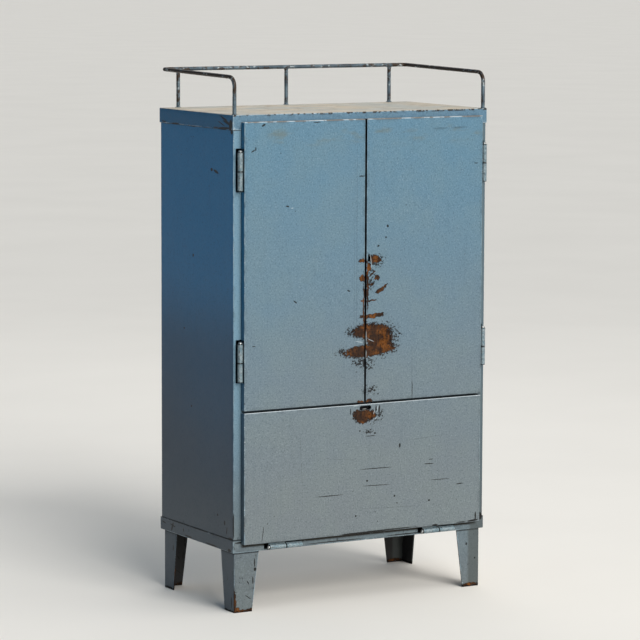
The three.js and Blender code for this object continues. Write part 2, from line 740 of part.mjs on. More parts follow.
for (const [doorName, side] of [['left_door', -1], ['right_door', 1]]) {
  for (const [level, height] of Object.entries(DOOR_HINGE_HEIGHTS)) {
    const axis = [side * DOOR_AXIS_X, AXIS_Y, height];
    addHinge(`${doorName}_${level}_hinge`, -side, axis, [0, 0, 0]);
  }
}
for (const [name, x] of Object.entries(FLAP_HINGE_PLACES)) {
  // Local z, with the pin's head, points to the left and local x points up.
  addHinge(`flap_${name}_hinge`, 1, [x, AXIS_Y, FLAP_AXIS_Z], [0, -Math.PI / 2, 0]);
}

export default cabinet;
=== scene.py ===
"""A worn steel bedside cabinet: folded sheet, weld-on hinges and chipped hammer enamel.

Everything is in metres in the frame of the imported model: +Z up, the doors face -Y and
the origin is on the floor. Lists of wear are in millimetres, as noted beside them.
"""

import json
import math

import bpy
from mathutils import Matrix, Vector, noise


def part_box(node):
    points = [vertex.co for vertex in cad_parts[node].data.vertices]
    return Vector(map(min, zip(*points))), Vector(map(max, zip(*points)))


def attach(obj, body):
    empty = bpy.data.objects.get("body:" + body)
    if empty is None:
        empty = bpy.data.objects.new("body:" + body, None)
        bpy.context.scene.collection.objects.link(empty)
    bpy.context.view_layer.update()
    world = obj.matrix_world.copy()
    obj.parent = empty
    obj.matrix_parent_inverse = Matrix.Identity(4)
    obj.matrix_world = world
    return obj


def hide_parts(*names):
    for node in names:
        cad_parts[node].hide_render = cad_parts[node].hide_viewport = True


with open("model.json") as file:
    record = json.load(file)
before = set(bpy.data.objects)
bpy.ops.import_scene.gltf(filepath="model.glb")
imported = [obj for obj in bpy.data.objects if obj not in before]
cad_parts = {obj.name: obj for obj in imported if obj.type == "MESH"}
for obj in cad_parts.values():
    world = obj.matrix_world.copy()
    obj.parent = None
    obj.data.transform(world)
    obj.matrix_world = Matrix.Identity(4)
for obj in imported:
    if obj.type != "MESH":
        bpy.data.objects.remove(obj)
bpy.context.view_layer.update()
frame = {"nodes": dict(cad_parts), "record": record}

MM = 0.001
SHEET = 1.2 * MM
FOLD = 1.7 * MM  # outside radius of every folded edge
CHAMFER = 0.3 * MM

# ---- view and stage ----

CAMERA_PLACE = Vector((-3.33105, -5.74708, 1.35149))
CAMERA_YAW = math.radians(30.017)  # turned from +Y towards +X
CAMERA_DOWN = math.radians(6.745)
CAMERA_ROLL = math.radians(0.191)
CAMERA_LENS = 180.21
SENSOR = 36
LAMP_TARGET = Vector((0, 0, 0.55))
SOFT_BOX_SIZE = (2.6, 2)
STUDIO_BLUE = (0.010, 0.085, 0.170, 1)
STUDIO_PALE = (0.80, 0.78, 0.75, 1)
FLOOR_REACH = 90


def add_object(name, data):
    made = bpy.data.objects.new(name, data)
    bpy.context.scene.collection.objects.link(made)
    return made


def make_camera():
    sine, cosine = math.sin(CAMERA_YAW), math.cos(CAMERA_YAW)
    level = math.cos(CAMERA_DOWN)
    ahead = Vector((sine * level, cosine * level, -math.sin(CAMERA_DOWN)))
    right = Vector((cosine, -sine, 0))
    up = right.cross(ahead)
    turn = Matrix.Rotation(-CAMERA_ROLL, 3, ahead)
    right, up = turn @ right, turn @ up
    camera = add_object("camera", bpy.data.cameras.new("camera"))
    camera.data.lens = CAMERA_LENS
    camera.data.sensor_width = SENSOR
    camera.matrix_world = Matrix((right, up, -ahead)).transposed().to_4x4()
    camera.location = CAMERA_PLACE
    bpy.context.scene.camera = camera


def add_lamp(name, kind, energy, place):
    """A lamp that shines on the middle of the cabinet."""
    light = bpy.data.lights.new(name, kind)
    light.energy = energy
    lamp = add_object(name, light)
    lamp.location = place
    lamp.rotation_euler = (LAMP_TARGET - Vector(place)).to_track_quat("-Z", "Y").to_euler()
    return light


def make_lights():
    """A broad key in front, soft boxes above and behind, and a dim blue side to the left."""
    key = add_lamp("key", "SUN", 3.65, (0.1, -4.8, 2.7))
    key.angle = math.radians(40)
    key.color = (1, 0.985, 0.96)
    for name, energy, place in (
        ("soft_box", 30, (0.6, -1.6, 3.4)),
        ("fill", 16, (0.9, 2.8, 3.3)),
    ):
        box = add_lamp(name, "AREA", energy, place)
        box.shape = "RECTANGLE"
        box.size, box.size_y = SOFT_BOX_SIZE

    world = bpy.data.worlds.new("studio")
    bpy.context.scene.world = world
    world.use_nodes = True
    room = Nodes(world.node_tree)
    across = room.split(room.node("ShaderNodeTexCoord").outputs["Generated"])[0]
    seen = room.node("ShaderNodeLightPath").outputs["Is Camera Ray"]
    pale = room.math("MAXIMUM", room.ramp(across, -0.35, 0.6), seen)
    shade = room.mix(pale, STUDIO_BLUE, STUDIO_PALE)
    room.tree.links.new(shade, room.tree.nodes["Background"].inputs["Color"])
    bpy.context.scene.view_settings.view_transform = "Standard"


# ---- material nodes ----


class Nodes:
    """A node tree that is written as nested calls."""

    def __init__(self, tree):
        self.tree = tree

    def node(self, kind, inputs=None, **settings):
        made = self.tree.nodes.new(kind)
        for key, value in settings.items():
            setattr(made, key, value)
        for key, value in (inputs or {}).items():
            if isinstance(value, bpy.types.NodeSocket):
                self.tree.links.new(value, made.inputs[key])
            else:
                made.inputs[key].default_value = value
        return made

    def split(self, vector):
        return tuple(self.node("ShaderNodeSeparateXYZ", {0: vector}).outputs)

    def math(self, operation, a, b=0):
        return self.node("ShaderNodeMath", {0: a, 1: b}, operation=operation).outputs[0]

    def vector(self, operation, *inputs):
        made = self.node("ShaderNodeVectorMath", dict(enumerate(inputs)), operation=operation)
        return made.outputs[0]

    def add(self, a, b):
        return self.math("ADD", a, b)

    def times(self, product, *factors):
        for factor in factors:
            product = self.math("MULTIPLY", product, factor)
        return product

    def ramp(self, value, start, end):
        """0 at start and 1 at end, smooth between, whichever of them is larger."""
        made = self.node(
            "ShaderNodeMapRange",
            {"Value": value, "From Min": start, "From Max": end},
            interpolation_type="SMOOTHSTEP",
        )
        return made.outputs["Result"]

    def near(self, value, level, start, end):
        """A ramp between two distances above a level, in mm."""
        return self.ramp(value, level + start * MM, level + end * MM)

    def off(self, value, level=0):
        """How far a value is from a level, either way."""
        return self.math("ABSOLUTE", self.add(value, -level))

    def mix(self, factor, first, second):
        made = self.node("ShaderNodeMix", {0: factor, 6: first, 7: second}, data_type="RGBA")
        return made.outputs[2]


class Shader(Nodes):
    """A material, whose paint is kept as a color, a height in metres and a roughness."""

    def __init__(self, name):
        self.material = bpy.data.materials.new(name)
        self.material.use_nodes = True
        super().__init__(self.material.node_tree)
        self.tree.nodes.clear()
        place = self.node("ShaderNodeTexCoord")
        self.at = place.outputs["Object"]
        self.x, self.y, self.z = self.split(self.at)
        self.facing_x, self.facing_y, self.facing_z = self.split(place.outputs["Normal"])

    def rim(self):
        """Distance from the nearest worn edge, which store_rim keeps on the mesh."""
        return self.node("ShaderNodeAttribute", attribute_name="rim").outputs["Fac"]

    def stretch(self, vector, x, y, z):
        return self.vector("MULTIPLY", vector, (x, y, z))

    def noise(self, vector, scale, detail=3, roughness=0.55):
        made = self.node(
            "ShaderNodeTexNoise",
            {"Vector": vector, "Scale": scale, "Detail": detail, "Roughness": roughness},
        )
        return made.outputs["Fac"]

    def patches(self, scale, start, end, detail=3, roughness=0.55, at=None):
        """Patches of noise: 0 where it is at start or before, 1 at end or beyond."""
        return self.ramp(self.noise(at or self.at, scale, detail, roughness), start, end)

    def varied(self, scale, spread, base=0):
        """A value that wanders over the surface between base and base + spread."""
        return self.add(self.times(self.noise(self.at, scale), spread), base)

    def cells(self, vector, scale, feature="SMOOTH_F1"):
        made = self.node(
            "ShaderNodeTexVoronoi", {"Vector": vector, "Scale": scale}, feature=feature
        )
        return made.outputs["Distance"]

    def shifted(self, vector, scale, amount):
        """The vector pushed about by noise, so that what is drawn on it has ragged edges."""
        made = self.node("ShaderNodeTexNoise", {"Vector": vector, "Scale": scale, "Detail": 4})
        centred = self.vector("SUBTRACT", made.outputs["Color"], (0.5, 0.5, 0.5))
        return self.vector("ADD", vector, self.stretch(centred, amount, amount, amount))

    def ovals(self, vector, shapes):
        """Distance field of ellipses in the local x, z plane, in radii: under 1 is inside."""
        nearest = None
        for x, z, half_width, half_height, *turn in shapes:
            centre = Vector((x, 0, z)) * MM
            scale = Vector((1 / (half_width * MM), 0, 1 / (half_height * MM)))
            local = vector
            if turn:
                local = self.node(
                    "ShaderNodeVectorRotate",
                    {"Vector": vector, "Center": centre, "Angle": math.radians(*turn)},
                    rotation_type="Y_AXIS",
                ).outputs[0]
            shift = Vector((-centre.x * scale.x, 0, -centre.z * scale.z))
            local = self.vector("MULTIPLY_ADD", local, scale, shift)
            field = self.node("ShaderNodeVectorMath", {0: local}, operation="LENGTH")
            radius = field.outputs["Value"]
            nearest = radius if nearest is None else self.math("MINIMUM", nearest, radius)
        return nearest

    def cover(self, mask, color, amount=1, depth=0, roughness=0):
        """Lays a colour over the paint where the mask is 1, sunk by depth and rougher."""
        if amount < 1:
            mask = self.times(mask, amount)
        self.color = self.mix(mask, self.color, color)
        if depth:
            self.height = self.math("SUBTRACT", self.height, self.times(mask, depth))
        if roughness:
            self.roughness = self.add(self.roughness, self.times(mask, roughness))

    def finish(self, metallic=0, coat=0):
        """Ends the material with its paint."""
        bump = self.node("ShaderNodeBump", {"Height": self.height, "Distance": 1})
        shader = self.node("ShaderNodeBsdfPrincipled", {
            "Base Color": self.color,
            "Roughness": self.roughness,
            "Normal": bump.outputs[0],
            "Metallic": metallic,
            "Specular IOR Level": 0.2,
            "Coat Weight": coat,
            "Coat Roughness": 0.2,
        })
        self.node("ShaderNodeOutputMaterial", {"Surface": shader.outputs[0]})
        return self.material


def rgb(red, green, blue):
    """A colour from its display values, 0 to 255."""
    def linear(value):
        value /= 255
        return value / 12.92 if value <= 0.04045 else ((value + 0.055) / 1.055) ** 2.4

    return (linear(red), linear(green), linear(blue), 1)


RUST_DARK = rgb(9, 4, 2)
RUST_BROWN = rgb(46, 24, 6)
RUST_ORANGE = rgb(92, 53, 14)
BARE_PALE = rgb(158, 168, 172)
GRIME = rgb(24, 28, 31)
# Painted shade for the gaps between the leaves and the back of the finger slot.
PAINTED_GAP_SHADE = rgb(9, 12, 14)
ENAMEL = {"metallic": 0.12, "coat": 0.04}


def rust_color(s):
    brown = s.mix(s.patches(50, 0.4, 0.6, 5), RUST_BROWN, RUST_ORANGE)
    streak = s.patches(150, 0.44, 0.6, 5, at=s.stretch(s.at, 1, 1, 0.22))
    brown = s.mix(s.times(streak, 0.7), brown, rgb(28, 14, 5))
    return s.mix(s.times(s.patches(210, 0.5, 0.62, 5, 0.65), 0.8), brown, RUST_DARK)


def hammer_paint(s, lit_front, shaded_side, grain=1):
    """Starts the paint: a lit copy of the enamel on faces turned to the front, less so elsewhere,
    and a shaded copy on the left side; the two copies are painted light and shade.

    lit_front and shaded_side are each an upper colour, a lower colour and the two heights between
    which one turns into the other. grain scales the flecks of the hammer finish and its
    relief, which is shallow cells a few millimetres across over orange peel. The bright flecks
    are stronger on the faces turned to the front, as painted glints.
    """
    level = s.add(s.z, s.times(s.add(s.noise(s.at, 3, 2), -0.5), 0.3))
    shaded_side, lit_front = (
        s.mix(s.ramp(level, *heights), lower, upper) for upper, lower, heights in (shaded_side, lit_front)
    )
    # Painted shade: faces on the left turned to -X keep the shaded copy, faces turned to the front
    # take the lit copy.
    left = s.times(s.ramp(s.facing_x, -0.2, -0.6), s.ramp(s.x, -0.1, -0.2))
    pale = s.math("MAXIMUM", s.ramp(s.facing_y, -0.15, -0.7), s.add(s.times(left, -0.6), 0.6))
    color = s.mix(pale, shaded_side, lit_front)
    cloud = s.patches(14, 0.35, 0.7)
    color = s.mix(s.times(cloud, s.times(pale, 0.10)), color, rgb(112, 124, 112))
    fleck = s.noise(s.at, 330)
    # Painted glints: the bright flecks are stronger where the faces turn to the front.
    glint = s.add(s.times(pale, 0.13 * grain), 0.03 * grain)
    color = s.mix(s.times(s.ramp(fleck, 0.52, 0.74), glint), color, rgb(165, 180, 188))
    color = s.mix(s.times(s.ramp(fleck, 0.48, 0.3), 0.38 * grain), color, rgb(20, 42, 54))
    streak = s.patches(130, 0.55, 0.75, at=s.stretch(s.at, 1, 1, 0.06))
    s.color = s.mix(s.times(streak, 0.08), color, rgb(48, 66, 78))
    cells = s.cells(s.shifted(s.at, 160, 0.004), 230)
    peel = s.times(s.noise(s.at, 900, 2), 0.02 * MM)
    s.height = s.times(s.add(s.times(cells, 0.08 * MM), peel), grain)
    s.roughness = s.varied(55, 0.14, 0.31)


def wear_edges(s, wear, grime):
    """Soot in the corners, a pale line on the folds that is rubbed paint and painted highlight,
    rubbed folds and rusty chips, by the distance from the rim.
    """
    edge = s.rim()
    soot = s.times(s.ramp(edge, 9 * MM, 0), s.patches(60, 0.4, 0.7))
    s.cover(s.times(soot, grime), GRIME)
    # A pale line along the folds: rubbed paint and a painted highlight on the rounded edges.
    edge_rub_and_highlight = s.ramp(edge, 2.4 * MM, 0.5 * MM)
    s.cover(s.times(edge_rub_and_highlight, s.patches(35, 0.35, 0.75)), rgb(132, 152, 162))
    reach = s.times(s.patches(260, 0.48, 0.8, 4), 4 * MM * wear)
    rubbed = s.ramp(s.math("SUBTRACT", reach, edge), -0.2 * MM, 0.8 * MM)
    s.cover(s.times(rubbed, s.patches(22, 0.42, 0.6, 2)), BARE_PALE)
    reach = s.times(s.noise(s.at, 180), 9 * MM)
    chip = s.ramp(s.math("SUBTRACT", reach, edge), 4.7 * MM, 5.2 * MM)
    chip = s.times(chip, s.patches(31, 0.54, 0.6, 2), wear)
    s.cover(chip, rust_color(s), depth=0.12 * MM, roughness=0.3)


def add_specks(s):
    """Specks where grit has knocked the enamel off."""
    speck = s.ramp(s.cells(s.at, 46, "F1"), 0.062, 0.04)
    s.cover(s.times(speck, s.patches(9, 0.5, 0.62, 2)), GRIME)


def add_marks(s, plane, rust=(), spatter=(), dark=(), faint=(), bare=()):
    """Wear at known places on the front or on the left side.

    Each list holds ellipses: x, z, half width and half height in mm, and a turn in degrees
    if there is one. On the left side the first number is y.
    """
    flat, outward = s.at, s.facing_y
    if plane == "left":
        swapped = s.node("ShaderNodeCombineXYZ", {0: s.y, 1: s.x, 2: s.z})
        flat, outward = swapped.outputs[0], s.facing_x
    flat = s.stretch(flat, 1, 0, 1)
    shown = s.ramp(outward, -0.2, -0.5)

    def ragged(shapes, scale, amount):
        return s.ovals(s.shifted(flat, scale, amount), shapes)

    if faint:
        line = s.ramp(ragged(faint, 90, 0.001), 1.2, 0.6)
        s.cover(s.times(line, shown), GRIME, 0.3)
    if spatter:
        level = s.ramp(s.ovals(flat, spatter), 1.25, 0.1)
        grit = s.noise(s.at, 230, 4, 0.65)
        fleck = s.ramp(s.add(grit, s.times(level, 0.17)), 0.63, 0.66)
        fleck = s.times(fleck, s.times(shown, s.ramp(level, 0, 0.15)))
        s.cover(fleck, RUST_DARK, 0.9, 0.1 * MM, 0.3)
    if rust:
        torn = s.times(s.add(s.noise(s.at, 210, 5, 0.7), -0.5), 1.3)
        field = s.add(ragged(rust, 120, 0.010), torn)
        eaten = s.times(s.ramp(field, 1.04, 0.94), shown)
        s.cover(eaten, rust_color(s), 1, 0.2 * MM, 0.35)
        border = s.ramp(s.off(field, 0.95), 0.2, 0.02)
        s.cover(s.times(border, shown), RUST_DARK, 0.75)
    if dark:
        mark = s.ramp(ragged(dark, 260, 0.0016), 1.15, 0.8)
        s.cover(s.times(mark, shown), rgb(12, 10, 9), 0.95, 0.12 * MM)
    if bare:
        mark = s.ramp(ragged(bare, 220, 0.002), 1.2, 0.5)
        s.cover(s.times(mark, shown), BARE_PALE, 0.6)


# Wear on the doors and the flap, on their front plane: x, z, half width, half height in
# mm, and degrees anticlockwise if it is turned.
FRONT_RUST = [
    (14, 559, 46, 15.5, -1), (10, 520, 62, 13, 4), (34, 541, 31, 22), (17, 591, 30, 4.5, 4),
    (-9, 591, 5, 3), (4.5, 655, 2.6, 52), (-4, 600, 1.8, 60), (22, 707, 13, 9, -8),
    (31, 703, 6, 3.5), (8, 692, 5, 8), (-9, 705, 8, 4), (-8, 669, 7, 7, 20), (16, 678, 9, 2, 42),
    (27, 669, 6.5, 5.5), (12, 655, 8, 2, 18), (35, 643, 13, 3.6, 26), (46, 650, 7, 2, 40),
    (12, 622, 15, 1.8, 3), (-8, 623, 4, 1.5), (9, 416, 8, 3.5), (-11, 415, 8, 3),
    (-5, 385, 23, 14), (-15, 391, 13, 8), (9, 386, 16, 11), (-5, 372, 5, 4),
]
FRONT_SPATTER = [
    (54, 542, 34, 42, -8), (-2, 494, 38, 20), (-54, 522, 22, 12), (-34, 560, 16, 14),
    (20, 703, 30, 20), (6, 664, 20, 34), (22, 384, 26, 20), (12, 352, 20, 7), (10, 438, 22, 12),
    (20, 572, 36, 10, -4),
]
FRONT_DARK = [
    (26, 399, 1.5, 6, -8), (34, 397, 1.9, 9, -6), (39, 390, 1.2, 8, -22), (-34, 396, 1.2, 7),
    (28, 274.5, 38, 0.9, -0.5), (28, 239, 34, 0.7, -1.5), (-82, 226, 33, 0.9),
    (155, 274, 12, 1, -3), (160, 283, 5, 0.8), (182, 239, 24, 0.7, -1), (231, 226, 9, 1.1, 2),
    (6, 250, 2.4, 2), (72, 213, 2.4, 2), (78, 198, 1.8, 1.5), (156, 197, 2.6, 2),
    (-21, 179, 2, 2.2), (-12, 355, 2.2, 1.6), (10, 351, 7, 1.4), (24, 348, 3, 1.6),
    (84, 318, 2, 5), (14, 343, 12, 0.8), (52, 774, 2.4, 3.2, 30), (48, 751, 2, 2),
    (30, 734, 3, 2, 30), (113, 433, 0.8, 20), (-10, 878, 7, 1.3), (265, 896, 5, 1),
    (-239, 160, 0.8, 17, -8), (-183, 823, 4, 1.5, -15), (-262, 936, 5, 1.3, 30),
    (-256, 940, 1.5, 4), (-260, 544, 4, 1), (-165, 629, 5, 1.3, -35), (171, 143, 7, 2.4),
    (264, 145, 14, 2, 4), (271, 154, 2, 9), (236, 144, 12, 1), (-40, 645, 4, 1.5, -20),
    (82, 551, 3, 2), (23, 437, 2.2, 2), (31, 429, 1.8, 1.6), (-238, 987, 5, 2, 30),
    (-115, 990, 9, 1), (0, 143, 60, 1.6), (60, 144, 70, 1.2),
]
FRONT_FAINT = [
    (-21, 700, 0.7, 285), (-27, 640, 0.5, 190), (112, 480, 0.6, 66), (177, 970, 17, 2.6, 1),
    (224, 971, 21, 2.2, 1), (-150, 300, 0.6, 70, 3), (60, 190, 90, 0.6, -2),
    (150, 330, 60, 0.6, 4), (-60, 300, 50, 0.5, -6),
]
FRONT_BARE = [
    (26, 379, 3.4, 1, 40), (14, 699, 0.8, 11), (-22, 407.5, 7, 0.8), (13, 541, 9, 0.9, -25),
    (-14, 539, 10, 1.1, -10), (-172, 819, 3.2, 1.1), (30, 398, 1.2, 7, -6), (22, 392, 1.2, 5, -20),
    (2, 548, 1.1, 14), (2, 512, 1, 10),
]
# Wear on the left side: y, z. The first marks are at the seam of the cap.
CAP_DARK = [
    (-143, 987, 7, 12, 10), (-112, 1001, 17, 1.3, 15), (-122, 996, 19, 1.7, 18),
    (-128, 991, 18, 2.2, 15), (-104, 989, 15, 1.2, 17), (-114, 980, 27, 2.6, -3),
    (-80, 980, 11, 1.4), (-145, 974, 5, 5), (96, 979, 18, 1.8, -3), (146, 981, 10, 1.3, 4),
    (20, 977, 12, 0.9),
]
SIDE_DARK = [
    (-79, 891, 11, 3, 15), (-60, 894, 5, 3.4), (28, 402, 3, 2), (20, 714, 3, 3.5),
    (-115, 181, 3, 5), (-85, 193, 3, 2.5), (-124, 166, 1.6, 8, 10), (60, 560, 3, 2),
    (110, 140, 12, 1.6, 8), (40, 128, 16, 1.8), (-60, 127, 26, 1.8), (-138, 128, 7, 3.4),
    (112, 137, 3, 11, 25), (150, 141, 9, 1.8, 8), (-151, 180, 1.6, 26), (62, 138, 2, 4, -20),
    (-140, 152, 10, 2.4), (90, 60, 3, 4, 10), (120, 90, 2, 7), (-136, 20, 2, 12),
]
# Wear on the front of the stiles, the base and the legs.
EDGE_RUST = [
    (-293.5, 24, 4.2, 27, 3), (-289, 7, 7, 4), (-252, 4, 14, 3), (272, 5, 20, 3), (-276, 3, 18, 2),
]
EDGE_DARK = [
    (-262, 60, 1.2, 5, 30), (-262, 30, 8, 0.9, -35), (-250, 47, 1.2, 3), (-284, 145, 12, 1.6),
    (-266, 138, 14, 0.8), (-246, 86, 3, 4), (-247, 100, 1.4, 9), (-251, 64, 1.4, 8),
    (260, 138, 20, 1.2), (120, 128, 60, 1.2), (-60, 128, 70, 1), (292, 150, 5, 8), (283, 60, 2, 2),
    (262, 92, 2, 3),
]
# Upper colour, lower colour and the heights between which the paint fades. The shaded tints are
# painted shade: a deep blue copy of the paint for faces turned away from the front, greyer low
# down where it stands in for the floor's bounced light.
FRONT_TINTS = (rgb(78, 111, 130), rgb(98, 105, 108), (0.1, 1.1))
STILE_TINTS = (rgb(97, 127, 144), rgb(86, 93, 96), (0, 0.6))
SHADED_SIDE_TINTS = (rgb(22, 99, 143), rgb(67, 77, 85), (0.14, 0.8))
SHADED_LEAF_EDGE_TINTS = (rgb(26, 88, 124), rgb(66, 80, 89), (0.15, 0.8))
INSIDE_TINTS = (rgb(62, 102, 122), rgb(80, 92, 98), (0.1, 0.9))
CAP_FRONT_TINTS = (rgb(80, 109, 128), rgb(80, 109, 128), (0, 1))
SHADED_CAP_SIDE_TINTS = (rgb(12, 84, 122), rgb(12, 84, 122), (0, 1))

FLAP_FOOT, FLAP_TOP = (corner.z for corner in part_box("flap_skin"))
DOOR_FOOT, DOOR_TOP = (corner.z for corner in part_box("left_door_skin"))


def paint_gap_shade(s):
    """Painted shade on the walls of the gaps between the leaves, where no light gets in, and on
    the lowest strip of the doors, with grime and painted shade along the foot of the flap.
    """
    upright = s.ramp(s.off(s.x), 5 * MM, 3.5 * MM)
    s.cover(s.times(upright, s.ramp(s.off(s.facing_x), 0.3, 0.6)), PAINTED_GAP_SHADE)
    level = s.ramp(s.off(s.z, FLAP_TOP), 7 * MM, 4 * MM)
    s.cover(s.times(level, s.ramp(s.off(s.facing_z, 0.2), 0.4, 0.8)), PAINTED_GAP_SHADE)
    # Painted shade: the lowest strip of the door fronts, over the gap above the flap.
    hem = s.times(s.near(s.z, DOOR_FOOT, 1.9, 1.1), s.near(s.z, FLAP_TOP, 0, 0.5))
    s.cover(hem, PAINTED_GAP_SHADE)
    # Grime and painted shade at the foot of the flap.
    s.cover(s.near(s.z, FLAP_FOOT, 1.8, 0.8), rgb(22, 20, 15), 0.9)


def wear_and_highlight_top_edges(s):
    """Hands and things set down have rubbed the upper front edges of the leaves pale; the pale on
    their up-facing folds is also a painted highlight from above.
    """
    # Pale rounded top edge of the flap: rubbed paint and a painted highlight from above.
    corner = s.near(s.y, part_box("flap_skin")[0].y, 2.6, 1.2)
    s.cover(s.times(s.ramp(s.facing_z, 0.1, 0.4), corner), rgb(176, 184, 188), 0.9)
    # Pale top faces of the doors: rubbed paint and a painted highlight from above.
    upper = s.times(s.near(s.z, DOOR_TOP, -6, 0), s.ramp(s.facing_z, 0.1, 0.6))
    s.cover(s.times(upper, s.patches(24, 0.3, 0.6)), rgb(150, 156, 158))
    dirty = s.times(s.near(s.z, DOOR_TOP, -3, -1), s.patches(60, 0.43, 0.54, 4))
    s.cover(dirty, rgb(84, 70, 56), 0.8)
    band = s.times(s.near(s.z, DOOR_TOP, -62, -34), s.near(s.z, DOOR_TOP, -8, -24))
    stain = s.patches(30, 0.5, 0.66, 4, at=s.stretch(s.at, 0.45, 1, 1.3))
    s.cover(s.times(band, stain), rgb(92, 92, 72), 0.42)


def shade_seams(s):
    """Dirt in the seam below the cap and in the seam above the base."""
    for height in (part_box("top_cap")[0].z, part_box("base_pan")[1].z):
        line = s.ramp(s.off(s.z, height), 2 * MM, 0.8 * MM)
        s.cover(s.times(line, s.patches(45, 0.25, 0.5, 4)), GRIME, 0.9)


def shade_legs(s):
    """Painted shade on the inner faces of the legs, which turn in under the cabinet, and dirt in
    the seam above the legs.
    """
    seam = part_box("base_pan")[0].z
    outward = [
        s.times(s.math("SIGN", at), way) for at, way in ((s.x, s.facing_x), (s.y, s.facing_y))
    ]
    # Painted shade: the inner faces of the legs, under the cabinet, are made near black.
    inner = s.times(s.ramp(s.math("MINIMUM", *outward), -0.2, -0.6), s.near(s.z, seam, 0, -2))
    s.cover(inner, rgb(26, 22, 20), 0.93, roughness=0.3)
    s.cover(s.ramp(s.off(s.z, seam - 2 * MM), 2.6 * MM, 1.2 * MM), GRIME, 0.75)


def shade_carcass(s):
    """Grime and painted shadow below the flap, scuffs and rust near the floor, the right door's
    painted shadow on the right stile, and painted shade deepened midway up the left side.
    """
    ahead = s.ramp(s.facing_y, -0.3, -0.7)
    # Grime and painted shadow: a dark band on the base front just below the flap.
    under = s.times(s.near(s.z, FLAP_FOOT, -8.5, -4.5), s.near(s.z, FLAP_FOOT, 4, 1))
    under = s.times(under, s.ramp(s.off(s.x), 0.285, 0.275), ahead, s.ramp(s.y, -0.1, -0.14))
    s.cover(s.times(under, s.patches(55, 0.12, 0.45, 4)), rgb(26, 24, 18))
    scuff = s.patches(95, 0.63, 0.67, 5, 0.7, s.stretch(s.at, 1, 1, 0.7))
    s.cover(s.times(scuff, s.ramp(s.z, 0.19, 0.13)), GRIME, 0.75)
    # Painted shadow of the right door, which stands proud, on the right stile.
    right_stile_shadow = s.times(s.ramp(s.x, 0.262, 0.27), ahead)
    s.cover(right_stile_shadow, rgb(62, 66, 64), 0.65)
    # Painted shade: the left side made darker midway up.
    left_side_shade = s.times(s.ramp(s.z, 0.68, 0.5), s.ramp(s.z, 0.13, 0.3))
    s.cover(s.times(left_side_shade, s.ramp(s.facing_x, -0.4, -0.8)), rgb(16, 44, 66), 0.5)
    foot = s.ramp(s.add(s.z, s.varied(90, -8 * MM)), 1 * MM, -1 * MM)
    s.cover(foot, RUST_DARK, roughness=0.3)


def front_enamel():
    s = Shader("front_enamel")
    hammer_paint(s, FRONT_TINTS, SHADED_LEAF_EDGE_TINTS)
    wear_edges(s, 0.8, 0.35)
    wear_and_highlight_top_edges(s)
    paint_gap_shade(s)
    add_specks(s)
    add_marks(s, "front", FRONT_RUST, FRONT_SPATTER, FRONT_DARK, FRONT_FAINT, FRONT_BARE)
    return s.finish(**ENAMEL)


def carcass_enamel():
    s = Shader("carcass_enamel")
    hammer_paint(s, STILE_TINTS, SHADED_SIDE_TINTS, grain=0.7)
    wear_edges(s, 0.7, 0.25)
    shade_seams(s)
    shade_legs(s)
    shade_carcass(s)
    add_specks(s)
    add_marks(s, "left", dark=CAP_DARK + SIDE_DARK)
    add_marks(s, "front", rust=EDGE_RUST, dark=EDGE_DARK)
    return s.finish(**ENAMEL)


def inside_enamel():
    s = Shader("inside_enamel")
    hammer_paint(s, INSIDE_TINTS, INSIDE_TINTS, grain=0.8)
    add_specks(s)
    return s.finish(**ENAMEL)


def top_enamel():
    """The cap: enamel like the carcass on its skirts, rubbed pale and tan on its top."""
    s = Shader("top_enamel")
    # The cap's skirts take the shaded copy on the left: painted shade.
    hammer_paint(s, CAP_FRONT_TINTS, SHADED_CAP_SIDE_TINTS, grain=0.8)
    worn = s.mix(s.patches(9, 0.38, 0.62, 4), rgb(160, 160, 152), rgb(180, 168, 148))
    stained = s.patches(24, 0.52, 0.68, 6, 0.62, s.shifted(s.at, 20, 0.05))
    worn = s.mix(s.times(stained, 0.6), worn, rgb(130, 108, 82))
    pale = s.patches(26, 0.56, 0.68, 4, at=s.stretch(s.at, 0.5, 1.6, 1))
    worn = s.mix(s.times(pale, 0.45), worn, rgb(214, 208, 196))
    grit = s.patches(300, 0.6, 0.68, 4, 0.65)
    worn = s.mix(s.times(grit, 0.6), worn, rgb(84, 68, 52))
    s.cover(s.ramp(s.facing_z, 0.3, 0.8), worn, roughness=0.25)
    wear_edges(s, 1, 0.25)
    lip = s.near(s.z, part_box("top_cap")[1].z, -5, -2)
    knocked = s.ramp(s.add(s.noise(s.at, 130, 4), s.times(s.x, 0.16)), 0.49, 0.56)
    s.cover(s.times(lip, knocked, s.ramp(s.facing_y, -0.1, -0.4)), rgb(34, 26, 20))
    add_marks(s, "left", dark=CAP_DARK)
    return s.finish(**ENAMEL)


def rail_enamel():
    """Round bar whose enamel is rubbed through to dark and bright steel in patches."""
    s = Shader("rail_enamel")
    s.color = s.mix(s.patches(40, 0.35, 0.65), rgb(86, 100, 108), rgb(58, 70, 78))
    worn = s.noise(s.at, 75, 5, 0.65)
    s.height = s.varied(500, 0.1 * MM)
    s.roughness = s.add(s.times(worn, 0.3), 0.3)
    side_runs = s.times(s.ramp(s.off(s.x), 0.22, 0.285), s.ramp(s.z, 1.06, 1.08))
    rubbed = s.ramp(s.add(worn, s.times(side_runs, 0.16)), 0.5, 0.6)
    brown = s.mix(s.noise(s.at, 200), rgb(24, 19, 16), rgb(66, 52, 40))
    s.cover(rubbed, brown, depth=0.06 * MM)
    s.cover(s.patches(110, 0.6, 0.68, 4), rgb(150, 158, 160), 0.7)
    return s.finish(metallic=0.35)


